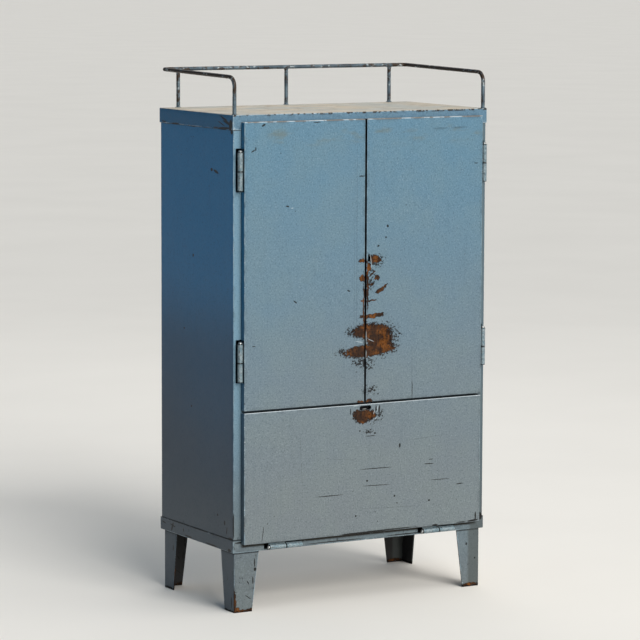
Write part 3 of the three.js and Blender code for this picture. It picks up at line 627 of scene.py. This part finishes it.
def hinge_steel():
    """Enamelled hinge, black in the joints between its knuckles, brown where it is worn."""
    s = Shader("hinge_steel")
    s.color = s.mix(s.patches(160, 0.35, 0.65), rgb(92, 112, 120), rgb(124, 136, 140))
    s.roughness = s.varied(400, 0.2, 0.34)
    s.height = s.varied(800, 0.06 * MM)
    s.cover(s.patches(330, 0.55, 0.66, 4), rgb(62, 46, 34), 0.75)
    s.cover(s.near(s.rim(), 0, 1.5, 0.7), GRIME)
    return s.finish(metallic=0.3)


def worn_steel(name, first, second, rough):
    s = Shader(name)
    s.color = s.mix(s.patches(260, 0.35, 0.65, 4), first, second)
    scratch = s.noise(s.stretch(s.at, 1, 0.15, 0.15), 1500, 2)
    s.height = s.times(scratch, 0.03 * MM)
    s.roughness = s.add(s.times(scratch, 0.2), rough)
    s.cover(s.patches(500, 0.62, 0.72), RUST_BROWN, 0.6)
    return s.finish(metallic=0.8)


def tongue_steel(front):
    """Steel that fingers keep bright on its ridge, with painted shade on the parts that lie back
    in the slot.
    """
    s = Shader("tongue_steel")
    s.color = s.mix(s.patches(300, 0.4, 0.6, 4), rgb(118, 120, 118), rgb(160, 160, 154))
    s.height = s.varied(1200, 0.03 * MM)
    s.roughness = s.varied(300, 0.2, 0.3)
    # Painted shade on the tongue where it lies back in the slot.
    s.cover(s.near(s.y, front, 1, 2.2), PAINTED_GAP_SHADE, roughness=0.4)
    return s.finish(metallic=0.6)


def weld_enamel():
    s = Shader("weld_enamel")
    s.color = s.mix(s.patches(120, 0.4, 0.6), rgb(60, 76, 86), rgb(88, 100, 106))
    s.height = s.varied(420, 0.35 * MM)
    s.roughness = s.varied(90, 0.2, 0.3)
    s.cover(s.patches(420, 0.58, 0.66), GRIME, 0.7)
    return s.finish(metallic=0.2)


def floor_paint():
    s = Shader("floor_paint")
    s.color = s.mix(s.noise(s.at, 1.5), rgb(236, 231, 223), rgb(228, 223, 215))
    s.roughness = s.varied(30, 0.1, 0.8)
    s.height = s.varied(300, 0.02 * MM)
    return s.finish()


FINISH = {
    "front_enamel": front_enamel(),
    "carcass_enamel": carcass_enamel(),
    "top_enamel": top_enamel(),
    "inside_enamel": inside_enamel(),
    "rail_enamel": rail_enamel(),
    "hinge_steel": hinge_steel(),
    "bright_steel": worn_steel("bright_steel", rgb(128, 132, 132), rgb(168, 170, 168), 0.26),
    "spring_steel": worn_steel("spring_steel", rgb(84, 86, 88), rgb(114, 116, 116), 0.38),
}
WELD = weld_enamel()


# ---- mesh helpers ----


def add_mesh(name, points, faces):
    mesh = bpy.data.meshes.new(name)
    mesh.from_pydata([tuple(p) for p in points], [], faces)
    mesh.update()
    return add_object(name, mesh)


def add_modifier(piece, kind, **settings):
    modifier = piece.modifiers.new(kind.lower(), kind)
    for key, value in settings.items():
        setattr(modifier, key, value)


def apply_modifiers(piece):
    graph = bpy.context.evaluated_depsgraph_get()
    mesh = bpy.data.meshes.new_from_object(piece.evaluated_get(graph))
    piece.modifiers.clear()
    piece.data = mesh


def thicken(piece, thickness, offset=-1):
    add_modifier(piece, "SOLIDIFY", thickness=thickness, offset=offset, use_even_offset=True)
    apply_modifiers(piece)


def cut(piece, cutters):
    for cutter in cutters:
        add_modifier(piece, "BOOLEAN", operation="DIFFERENCE", solver="EXACT", object=cutter)
    apply_modifiers(piece)
    for cutter in cutters:
        bpy.data.objects.remove(cutter)


def add_bevel(piece, width, segments, angle=40):
    add_modifier(piece, "BEVEL", width=width, segments=segments,
                 limit_method="ANGLE", angle_limit=math.radians(angle))


def dress(piece, body, slot, *nodes, material=None, angle=35):
    """Gives a new piece its finish and body, and hides the nodes that it stands for."""
    for polygon in piece.data.polygons:
        polygon.use_smooth = True
    piece.data.set_sharp_from_angle(angle=math.radians(angle))
    piece.data.materials.clear()
    piece.data.materials.append(material or FINISH[slot])
    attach(piece, body)
    if nodes:
        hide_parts(*nodes)


def store_rim(piece, measure):
    """Keeps each point's distance from the nearest worn edge, for the wear."""
    rim = piece.data.attributes.new("rim", "FLOAT", "POINT")
    for vertex, value in zip(piece.data.vertices, rim.data):
        value.value = measure(vertex)


def store_box_rim(piece, low, high, skipped=(), rank=1):
    """Takes the distance from the nearest edge of the piece's box.

    That is the second smallest gap to a side of the box. A flat sheet skips the two sides
    that it lies along and takes the smallest gap, rank 0.
    """
    def nearest(vertex):
        gaps = [
            max(gap, 0)
            for axis, at in enumerate(vertex.co)
            for end, gap in ((-1, at - low[axis]), (1, high[axis] - at))
            if (axis, end) not in skipped
        ]
        return sorted(gaps)[rank]

    store_rim(piece, nearest)


def spread(low, high, count):
    """Values from low to high with count equal steps between them."""
    return [low + (high - low) * i / count for i in range(count + 1)]


def quads(rows, width, ring=False):
    """Faces of a grid of points, row by row. Each row of a ring closes on itself."""
    faces = []
    for first in range(0, (rows - 1) * width, width):
        for i in range(width if ring else width - 1):
            j = (i + 1) % width
            faces.append([first + i, first + j, first + width + j, first + width + i])
    return faces


def caps(rows, width):
    """The two faces that close the ends of a grid of rings."""
    last = (rows - 1) * width
    return [list(range(width))[::-1], list(range(last, last + width))]


FOLD_STEPS = (0, 0.2, 0.45, 0.72, 1)  # grid lines across a fold, in fold radii
TRAY_GRID = 8 * MM
TRAY_FLAT = 40 * MM  # from a fold to where the sheet is fully rippled


def grid_lines(low, high, fold_low, fold_high):
    start = [low + FOLD * step for step in FOLD_STEPS] if fold_low else [low]
    end = [high - FOLD * step for step in reversed(FOLD_STEPS)] if fold_high else [high]
    count = max(1, round((end[0] - start[-1]) / TRAY_GRID))
    return start + spread(start[-1], end[0], count)[1:-1] + end


def ripple(point, gap, reach, wave=1):
    """How far hand-made sheet stands off its plane, fully so at reach from its flat edge."""
    slow = noise.noise(point * 4.5) * 0.45 + noise.noise(point * 11) * 0.16
    return slow * MM * wave * min(1, max(0, gap) / reach)


def tray(name, low, high, open_side, wave=1):
    """A tray folded from sheet: five sides of a box with rounded folds and one open side.

    open_side is an axis and an end, -1 or 1. The closed face opposite it is rippled.
    """
    axis, end = open_side
    folded = [[(a, side) != open_side for side in (-1, 1)] for a in range(3)]
    least = [low[a] + FOLD * folded[a][0] for a in range(3)]
    most = [high[a] - FOLD * folded[a][1] for a in range(3)]
    grids = [grid_lines(low[a], high[a], *folded[a]) for a in range(3)]
    last = [len(grid) - 1 for grid in grids]
    closed = 0 if end > 0 else last[axis]
    points, numbers, faces = [], {}, []

    def rounded(index):
        place = Vector([grids[a][index[a]] for a in range(3)])
        inner = Vector([min(max(place[a], least[a]), most[a]) for a in range(3)])
        outward = place - inner
        if outward.length > 0:
            place = inner + outward.normalized() * FOLD
        if index[axis] == closed:
            gaps = [min(place[a] - low[a], high[a] - place[a]) for a in range(3) if a != axis]
            place[axis] += ripple(place, min(gaps) - FOLD, TRAY_FLAT, wave)
        return place

    def number(index):
        if index not in numbers:
            numbers[index] = len(points)
            points.append(rounded(index))
        return numbers[index]

    for a in range(3):
        for side in (0, last[a]):
            if a == axis and side != closed:
                continue
            u, v = (a + 1) % 3, (a + 2) % 3
            for i in range(last[u]):
                for j in range(last[v]):
                    corners = []
                    for du, dv in ((0, 0), (1, 0), (1, 1), (0, 1)):
                        index = [0, 0, 0]
                        index[a], index[u], index[v] = side, i + du, j + dv
                        corners.append(number(tuple(index)))
                    faces.append(corners if side else corners[::-1])
    made = add_mesh(name, points, faces)
    thicken(made, SHEET)
    return made


def prism(outline, y0, y1):
    """A cutter along y. Its outline is x, z points, anticlockwise as the doors are seen."""
    points = [(x, y, z) for y in (y1, y0) for x, z in outline]
    count = len(outline)
    return add_mesh("cutter", points, quads(2, count, ring=True) + caps(2, count))


def slot_cutter(x, z, width, height, y0, y1):
    """A prism with round ends across its shorter way."""
    radius = min(width, height) / 2 * 0.98
    outline = []
    for quarter, (side, up) in enumerate(((1, 1), (-1, 1), (-1, -1), (1, -1))):
        for angle in spread(quarter * math.pi / 2, (quarter + 1) * math.pi / 2, 6):
            outline.append((
                x + side * (width / 2 - radius) + radius * math.cos(angle),
                z + up * (height / 2 - radius) + radius * math.sin(angle),
            ))
    return prism(outline, y0, y1)


def bent_line(corners, radii, spacing, steps=7):
    """A line through corners with round bends and straight runs cut to the spacing.

    radii is one radius, or a list with one for each bend.
    """
    corners = [Vector(corner) for corner in corners]
    if not isinstance(radii, list):
        radii = [radii] * len(corners)
    line = [corners[0]]
    for before, corner, after, radius in zip(corners, corners[1:], corners[2:], radii):
        incoming, outgoing = (corner - before).normalized(), (after - corner).normalized()
        turn = incoming.angle(outgoing)
        start = corner - incoming * radius * math.tan(turn / 2)
        inward = (outgoing - incoming * math.cos(turn)).normalized()
        add_run(line, start, spacing)
        for angle in spread(0, turn, steps)[1:]:
            along, across = math.sin(angle), 1 - math.cos(angle)
            line.append(start + incoming * radius * along + inward * radius * across)
    add_run(line, corners[-1], spacing)
    return line


def add_run(line, target, spacing):
    start = line[-1].copy()
    count = max(1, round((target - start).length / spacing))
    line += [start.lerp(target, i / count) for i in range(1, count + 1)]


def sheet_along(name, line, place, levels, thickness, offset=0):
    """Sheet whose section follows the line. place(point, level) gives each 3-D point."""
    points = [place(point, level) for level in levels for point in line]
    made = add_mesh(name, points, quads(len(levels), len(line)))
    thicken(made, thickness, offset)
    return made


def circle(segments):
    for i in range(segments):
        angle = 2 * math.pi * i / segments
        yield math.cos(angle), math.sin(angle)


def turned(name, profile, matrix, segments=40):
    """A body of revolution about local z. Profile points are radius and height."""
    points = [matrix @ Vector((radius * across, radius * up, height))
              for radius, height in profile for across, up in circle(segments)]
    faces = quads(len(profile), segments, ring=True)
    if profile[0] != profile[-1]:
        faces += caps(len(profile), segments)
    made = add_mesh(name, points, faces)
    add_modifier(made, "WELD", merge_threshold=0.001 * MM)
    apply_modifiers(made)
    return made


def tube(name, path, radius_at, segments=20):
    """A round bar along 3-D points. radius_at(i) gives its radius at each of them."""
    points = []
    last = len(path) - 1
    across = None
    for i, place in enumerate(path):
        ahead = (path[min(i + 1, last)] - path[max(i - 1, 0)]).normalized()
        if across is None:
            across = ahead.orthogonal().normalized()
        across = (across - ahead * across.dot(ahead)).normalized()
        other = ahead.cross(across)
        for c, s in circle(segments):
            points.append(place + (across * c + other * s) * radius_at(i))
    faces = quads(len(path), segments, ring=True) + caps(len(path), segments)
    return add_mesh(name, points, faces)


def weld_bead(name, start, end, radius, seed, slot):
    """A hand-laid weld: a thin bar that swells and shrinks, half sunk in the corner."""
    start, end = Vector(start), Vector(end)
    count = max(6, round((end - start).length / (2.2 * MM)))
    path = []
    for i in range(count + 1):
        stray = noise.noise_vector(Vector((i * 0.7, seed, 0.3))) * radius * 0.25
        path.append(start.lerp(end, i / count) + stray)

    def swell(i):
        taper = min(1, (min(i, count - i) + 0.6) / 2)
        return radius * taper * (1 + 0.22 * math.sin(i * 2.1 + seed))

    dress(tube(name, path, swell, 10), "frame", slot, material=WELD, angle=80)


# ---- doors and flap ----

OVERCUT = 5 * MM  # how far a cutter reaches past the sheet
HINGE_CLEAR = 2.5 * MM  # past each end of a hinge barrel
NOTCH_DEPTH = 2.6 * MM  # into the edge of a leaf
LEAVES = {
    "left_door": ["left_door_upper_hinge", "left_door_lower_hinge"],
    "right_door": ["right_door_upper_hinge", "right_door_lower_hinge"],
    "flap": ["flap_left_hinge", "flap_right_hinge"],
}
SLOTS = {  # x, z, width, height
    "flap": (1 * MM, 402 * MM, 28 * MM, 9 * MM),
    "right_door": (8.2 * MM, 710 * MM, 5.5 * MM, 16 * MM),
}
TONGUE_RIDGE = 399 * MM
TONGUE_HALF = 3.4 * MM  # from the ridge to the foot of the lens


def barrel_cutter(prefix, sides, depths):
    """A block along a hinge's barrel. sides are across it on the front, depths are along y."""
    low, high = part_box(f"{prefix}_pin")
    if prefix in LEAVES["flap"]:
        (x0, x1), (z0, z1) = (low.x - HINGE_CLEAR, high.x + HINGE_CLEAR), sorted(sides)
    else:
        (x0, x1), (z0, z1) = sorted(sides), (low.z - HINGE_CLEAR, high.z + HINGE_CLEAR)
    return prism([(x0, z0), (x1, z0), (x1, z1), (x0, z1)], *depths)


def make_leaf(body):
    """A door or the flap, notched where its hinge barrels stand."""
    node = f"{body}_skin"
    low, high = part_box(node)
    leaf = tray(f"{node}_sheet", low, high, (1, 1))
    edge, inward = {"left_door": (low.x, 1), "right_door": (high.x, -1), "flap": (low.z, 1)}[body]
    sides = (edge - inward * OVERCUT, edge + inward * NOTCH_DEPTH)
    depths = (low.y + SHEET, high.y + OVERCUT)
    cutters = [barrel_cutter(prefix, sides, depths) for prefix in LEAVES[body]]
    if body in SLOTS:
        cutters.append(slot_cutter(*SLOTS[body], low.y - OVERCUT, low.y + OVERCUT))
    cut(leaf, cutters)
    store_box_rim(leaf, low, high, [(1, 1)])
    dress(leaf, body, "front_enamel", node)


def make_tongue():
    """The bright lips behind the finger slot: a strip pressed out into a lens shape."""
    low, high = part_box("flap_finger_tongue")

    def place(across, z):
        x = (low.x + high.x) / 2 + across * (high.x - low.x) / 2
        lens = max(0, 1 - ((z - TONGUE_RIDGE) / TONGUE_HALF) ** 2) * (1 - across ** 2)
        return x, high.y - SHEET - (high.y - low.y - 2 * SHEET) * lens, z

    levels = spread(low.z, high.z, 16)
    tongue = sheet_along(
        "flap_finger_tongue_pressed", spread(-1, 1, 28), place, levels, SHEET, -1
    )
    dress(tongue, "flap", "bright_steel", "flap_finger_tongue", material=tongue_steel(low.y))


def make_slot_lip():
    """The burr raised round the right-hand edge of the slot in the right door."""
    x, z, width, height = SLOTS["right_door"]
    low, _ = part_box("right_door_skin")
    path = [
        Vector((
            x + (width / 2 + 0.6 * MM) * math.cos(angle),
            low.y - 0.1 * MM,
            z - 1.5 * MM + (height / 2 - 0.5 * MM) * math.sin(angle),
        ))
        for angle in spread(math.radians(-80), math.radians(80), 16)
    ]

    def radius(i):
        return 0.8 * MM * math.sin(math.pi * (i + 1) / 18)

    dress(tube("right_door_slot_burr", path, radius, 10), "right_door", "bright_steel")


# ---- hinges ----

BARREL = 5.2 * MM
BORE = 3.2 * MM
HALF_BARREL = 38.85 * MM
PIN = 3 * MM
PIN_HEAD = 4.1 * MM
PIN_CROWN = 3.4 * MM
PIN_BEVEL = 0.4 * MM
HEAD_WALL = 0.5 * MM  # straight side of the pin's head, below its crown
BARREL_GAP = 0.35 * MM
LEAF_THICK = 2 * MM
LEAF_BEND = 1.3 * MM
EDGE = 0.5 * MM  # worn corner at the ends of a barrel
EDGE_MIDDLE = (0.15 * MM, 0.2 * MM)  # its middle, in from the side and from the end
WELDED_GAP = 0.3 * MM  # between a leaf and the sheet it is welded to
PLATE_RIM = 1.2 * MM  # leaves the plates a little dirtier than the middle of a barrel


def barrel_profile(z0, z1):
    """A barrel from z0 to z1, in rows that let the dirt at its ends fade along it."""
    inset, drop = EDGE_MIDDLE
    return [
        (BORE, z0), (BARREL - EDGE, z0), (BARREL - inset, z0 + drop),
        *((BARREL, row) for row in spread(z0 + EDGE, z1 - EDGE, 24)),
        (BARREL - inset, z1 - drop), (BARREL - EDGE, z1), (BORE, z1), (BORE, z0),
    ]


def join(first, other):
    """Adds the mesh of another piece, drawn in the same frame, to the first."""
    points, faces = [], []
    for piece in (first, other):
        start = len(points)
        points += [vertex.co.copy() for vertex in piece.data.vertices]
        faces += [[start + i for i in polygon.vertices] for polygon in piece.data.polygons]
    name = first.name
    bpy.data.objects.remove(first)
    bpy.data.objects.remove(other)
    return add_mesh(name, points, faces)


def knuckle(name, matrix, z0, z1, section):
    """Half of a hinge: a length of barrel with a bent plate along the section."""
    barrel = turned(name, barrel_profile(z0, z1), matrix)
    plate = sheet_along(
        "plate", bent_line(section, LEAF_BEND, 6 * MM, 5),
        lambda p, z: matrix @ Vector((p.x, p.y, z)), [z0 + 0.2 * MM, z1 - 0.2 * MM], LEAF_THICK,
    )
    add_bevel(plate, CHAMFER, 3)
    apply_modifiers(plate)
    barrel_points = len(barrel.data.vertices)
    made = join(barrel, plate)
    upright = matrix.inverted()

    def end_gap(vertex):
        height = (upright @ vertex.co).z
        return min(height - z0, z1 - height) if vertex.index < barrel_points else PLATE_RIM

    store_rim(made, end_gap)
    return made


def make_hinge(prefix, body):
    pin_low, pin_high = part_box(f"{prefix}_pin")
    centre = (pin_low + pin_high) / 2
    if body == "flap":
        centre.x = pin_high.x - HALF_BARREL
        matrix = Matrix.Translation(centre) @ Matrix.Rotation(-math.pi / 2, 4, "Y")
    else:
        centre.z = pin_low.z + HALF_BARREL
        matrix = Matrix.Translation(centre)
    side = -1 if body == "right_door" else 1
    behind_stile, behind_front = (
        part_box(node)[0].y + SHEET + WELDED_GAP + LEAF_THICK / 2 - centre.y
        for node in ("left_side_panel", f"{body}_skin")
    )
    fixed = [(5 * MM, 1 * MM), (5 * MM, behind_stile), (16 * MM, behind_stile)]
    moving = [
        (4.5 * MM, 3 * MM), (10 * MM, 3 * MM),
        (10 * MM, behind_front), (26.5 * MM, behind_front),
    ]
    fixed, moving = ([(side * x, y) for x, y in section] for section in (fixed, moving))
    lower = knuckle(f"{prefix}_fixed_leaf", matrix, -HALF_BARREL, -BARREL_GAP, fixed)
    dress(lower, "frame", "hinge_steel", f"{prefix}_frame_knuckle")
    upper = knuckle(f"{prefix}_moving_leaf", matrix, BARREL_GAP, HALF_BARREL, moving)
    dress(upper, body, "hinge_steel", f"{prefix}_leaf_knuckle")

    top = HALF_BARREL + 0.3 * MM
    profile = [
        (0, -HALF_BARREL), (PIN - PIN_BEVEL, -HALF_BARREL), (PIN, PIN_BEVEL - HALF_BARREL),
        (PIN, top), (PIN_HEAD - HEAD_WALL, top), (PIN_HEAD, top + HEAD_WALL),
    ]
    for angle in spread(0, math.pi / 2, 8)[1:]:
        rise = HEAD_WALL + PIN_CROWN * math.sin(angle)
        profile.append((PIN_HEAD * math.cos(angle), top + rise))
    profile[-1] = (0, profile[-1][1])
    pin = turned(f"{prefix}_headed_pin", profile, matrix, 32)
    dress(pin, "frame", "bright_steel", f"{prefix}_pin")


# ---- carcass ----

STILE = 28.5 * MM
STILE_RETURN = 12 * MM
REAR_FLANGE = 18 * MM
SHEET_BEND = 1.9 * MM
SIDE_GRID = 9 * MM
BACK_GRID = 14 * MM
WINDOW_INNER = 9 * MM  # hinge axis to the inner edge of its window in the carcass
WINDOW_OUTER = 4.5 * MM  # hinge axis to the outer edge


def window_cutter(prefix, side, depths):
    """A window beside a hinge's barrel. side is where its outer edge is, -1 or 1."""
    low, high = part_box(f"{prefix}_pin")
    axis = (low + high)[2 if prefix in LEAVES["flap"] else 0] / 2
    return barrel_cutter(
        prefix, (axis - side * WINDOW_INNER, axis + side * WINDOW_OUTER), depths
    )


def make_side_panel(name, side):
    """A side folded round its front into a stile and round its back into a flange."""
    low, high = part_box(f"{name}_side_panel")
    outer = max(abs(low.x), abs(high.x))
    half = SHEET / 2
    section = [
        (outer - STILE + half, low.y + STILE_RETURN), (outer - STILE + half, low.y + half),
        (outer - half, low.y + half), (outer - half, high.y - half),
        (outer - REAR_FLANGE, high.y - half),
    ]
    line = bent_line([(side * x, y) for x, y in section], SHEET_BEND, SIDE_GRID)
    levels = spread(low.z, high.z, round((high.z - low.z) / SIDE_GRID))

    def place(point, level):
        spot = Vector((point.x, point.y, level))
        gap = min(point.y - low.y, high.y - point.y, level - low.z, high.z - level) - FOLD
        if abs(abs(point.x) - (outer - half)) < 0.01 * MM:
            spot.x += ripple(spot, gap, 50 * MM)
        return spot

    panel = sheet_along(f"{name}_side_panel_sheet", line, place, levels, SHEET)
    depths = (low.y - OVERCUT, low.y + OVERCUT)
    cut(panel, [window_cutter(prefix, side, depths) for prefix in LEAVES[f"{name}_door"]])
    store_box_rim(panel, Vector((-outer, low.y, low.z)), Vector((outer, high.y, high.z)))
    dress(panel, "frame", "carcass_enamel", f"{name}_side_panel")


def make_cap():
    low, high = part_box("top_cap")
    cap = tray("top_cap_sheet", low, high, (2, -1), wave=1.2)
    store_box_rim(cap, low, high)
    dress(cap, "frame", "top_enamel", "top_cap")


def make_base():
    low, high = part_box("base_pan")
    base = tray("base_pan_sheet", low, high, (2, 1))
    depths = (low.y - OVERCUT, low.y + 3.7 * MM)
    cut(base, [window_cutter(prefix, -1, depths) for prefix in LEAVES["flap"]])
    store_box_rim(base, low, high)
    dress(base, "frame", "carcass_enamel", "base_pan")


def make_back():
    low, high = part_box("back_panel")
    line = spread(low.x, high.x, round((high.x - low.x) / BACK_GRID))
    levels = spread(low.z, high.z, round((high.z - low.z) / BACK_GRID))

    def place(x, level):
        spot = Vector((x, (low.y + high.y) / 2, level))
        gap = min(x - low.x, high.x - x, level - low.z, high.z - level) - 20 * MM
        spot.y += ripple(spot, gap, 60 * MM, 1.2)
        return spot

    back = sheet_along("back_panel_sheet", line, place, levels, SHEET)
    store_box_rim(back, low, high, [(1, -1), (1, 1)], rank=0)
    dress(back, "frame", "carcass_enamel", "back_panel")


LEG_WIDE = 57 * MM
LEG_NARROW = 41 * MM
LEG_PLATE = 2.5 * MM
LEG_ROWS = 14
LEG_COLUMNS = 8


def make_leg(node):
    """An angle folded from plate whose two flanges taper towards the floor."""
    low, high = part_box(node)
    side_x = -1 if "left" in node else 1
    side_y = -1 if "front" in node else 1
    corner_x = low.x if side_x < 0 else high.x
    corner_y = low.y if side_y < 0 else high.y
    half = LEG_PLATE / 2

    def inward(x, y):
        return corner_x - side_x * x, corner_y - side_y * y

    points = []
    flanges = spread(LEG_NARROW, LEG_WIDE, LEG_ROWS)
    for z, flange in zip(spread(low.z, high.z, LEG_ROWS), flanges):
        section = [inward(flange, half), inward(half, half), inward(half, flange)]
        line = bent_line(section, LEG_PLATE, flange / LEG_COLUMNS, 8)
        points += [(p.x, p.y, z) for p in line]
    rows = LEG_ROWS + 1
    leg = add_mesh(f"{node}_angle", points, quads(rows, len(points) // rows))
    thicken(leg, LEG_PLATE, 0)
    add_bevel(leg, 0.35 * MM, 2)
    apply_modifiers(leg)

    def gap(vertex):
        x, y, z = vertex.co
        flange = LEG_NARROW + (LEG_WIDE - LEG_NARROW) * (z - low.z) / (high.z - low.z)
        reach = max(abs(x - corner_x), abs(y - corner_y))
        return min(flange - reach, reach, z - low.z)

    store_rim(leg, gap)
    dress(leg, "frame", "carcass_enamel", node)

    top = high.z + 0.1 * MM
    for label, end in (("front", inward(LEG_WIDE, 0)), ("side", inward(0, LEG_WIDE))):
        ends = (*inward(1 * MM, 1 * MM), top), (*end, top)
        seed = len(node) + side_x
        weld_bead(f"{node}_{label}_weld", *ends, 1.5 * MM, seed, "carcass_enamel")


# ---- guard rail ----

BAR = 4 * MM
POSTS = ["guard_rail_post_left", "guard_rail_post_middle", "guard_rail_post_right"]
RAIL_FRONT_BEND = 20 * MM
RAIL_BACK_BEND = 11 * MM
RAIL_RISE_BACK = 5 * MM  # the back run is this much higher than the front corners
FILLET = 2.6 * MM
FILLET_HEIGHT = 2.8 * MM
FILLET_SUNK = 0.2 * MM


def foot_weld(name, place, seed):
    """A small lumpy fillet where a bar stands on the cap."""
    profile = [(0, -FILLET_SUNK), (BAR + FILLET, -FILLET_SUNK)]
    for angle in spread(0, math.pi / 2, 6):
        radius = BAR + FILLET * (1 - math.sin(angle))
        profile.append((radius, FILLET_HEIGHT * (1 - math.cos(angle))))
    profile += [(BAR * 0.5, FILLET_HEIGHT), (0, FILLET_HEIGHT)]
    made = turned(name, profile, Matrix.Translation(place), 24)
    for vertex in made.data.vertices:
        offset = vertex.co - place
        lump = 1 + 0.22 * noise.noise(offset * 300 + Vector((seed, 0, 0)))
        vertex.co.x, vertex.co.y = place.x + offset.x * lump, place.y + offset.y * lump
    dress(made, "frame", "rail_enamel", material=WELD, angle=70)


def make_rail():
    low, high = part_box("guard_rail_bar")
    left, right = low.x + BAR, high.x - BAR
    front, back = low.y + BAR, high.y - BAR
    foot, top = low.z, high.z - BAR
    corners = [
        (left, front, foot), (left, front, top - RAIL_RISE_BACK), (left, back, top),
        (right, back, top), (right, front, top - RAIL_RISE_BACK), (right, front, foot),
    ]
    radii = [RAIL_FRONT_BEND, RAIL_BACK_BEND, RAIL_BACK_BEND, RAIL_FRONT_BEND]
    path = bent_line(corners, radii, 14 * MM, 9)

    def radius(i):
        return BAR * (1 + 0.02 * noise.noise(path[i] * 40))

    bar = tube("guard_rail_bent_bar", path, radius, 24)
    dress(bar, "frame", "rail_enamel", "guard_rail_bar")
    for seed, x in enumerate((left, right)):
        foot_weld(f"guard_rail_foot_weld_{seed + 1}", Vector((x, front, foot)), seed)
    for seed, node in enumerate(POSTS):
        make_post(node, seed)


def make_post(node, seed):
    low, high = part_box(node)
    x, y, _ = (low + high) / 2
    path = [Vector((x, y, z)) for z in spread(low.z, high.z, 8)]
    post = tube(f"{node}_upright", path, lambda i: BAR * 0.985, 24)
    dress(post, "frame", "rail_enamel", node)
    foot_weld(f"{node}_foot_weld", path[0], seed + 5)
    for label, side in (("left", -1), ("right", 1)):
        start = (x + side * (BAR + 0.2 * MM), y, high.z - 1.2 * MM)
        end = (x + side * 1.2 * MM, y - side * BAR, high.z - 0.6 * MM)
        name = f"{node}_top_weld_{label}"
        weld_bead(name, start, end, 1.2 * MM, seed + side, "rail_enamel")


# ---- assembly ----


def finish_plain_nodes():
    """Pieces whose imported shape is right: a softened edge and their own finish."""
    slots = {part["node"]: part["material_slot"] for part in frame["record"]["subparts"]}
    for name, node in frame["nodes"].items():
        if node.hide_render:
            continue
        add_bevel(node, CHAMFER, 2, 50)
        for slot in node.material_slots:
            slot.link = "OBJECT"
            slot.material = FINISH[slots[name]]


def make_floor():
    reach = FLOOR_REACH
    corners = [(-reach, -reach, 0), (reach, -reach, 0), (reach, reach, 0), (-reach, reach, 0)]
    floor = add_mesh("floor", corners, [(0, 1, 2, 3)])
    floor.data.materials.append(floor_paint())


make_camera()
make_lights()
make_floor()
for leaf_body, hinges in LEAVES.items():
    make_leaf(leaf_body)
    for hinge_prefix in hinges:
        make_hinge(hinge_prefix, leaf_body)
make_tongue()
make_slot_lip()
make_side_panel("left", -1)
make_side_panel("right", 1)
make_cap()
make_base()
make_back()
for leg_node in ("front_left_leg", "front_right_leg", "rear_left_leg", "rear_right_leg"):
    make_leg(leg_node)
make_rail()
finish_plain_nodes()
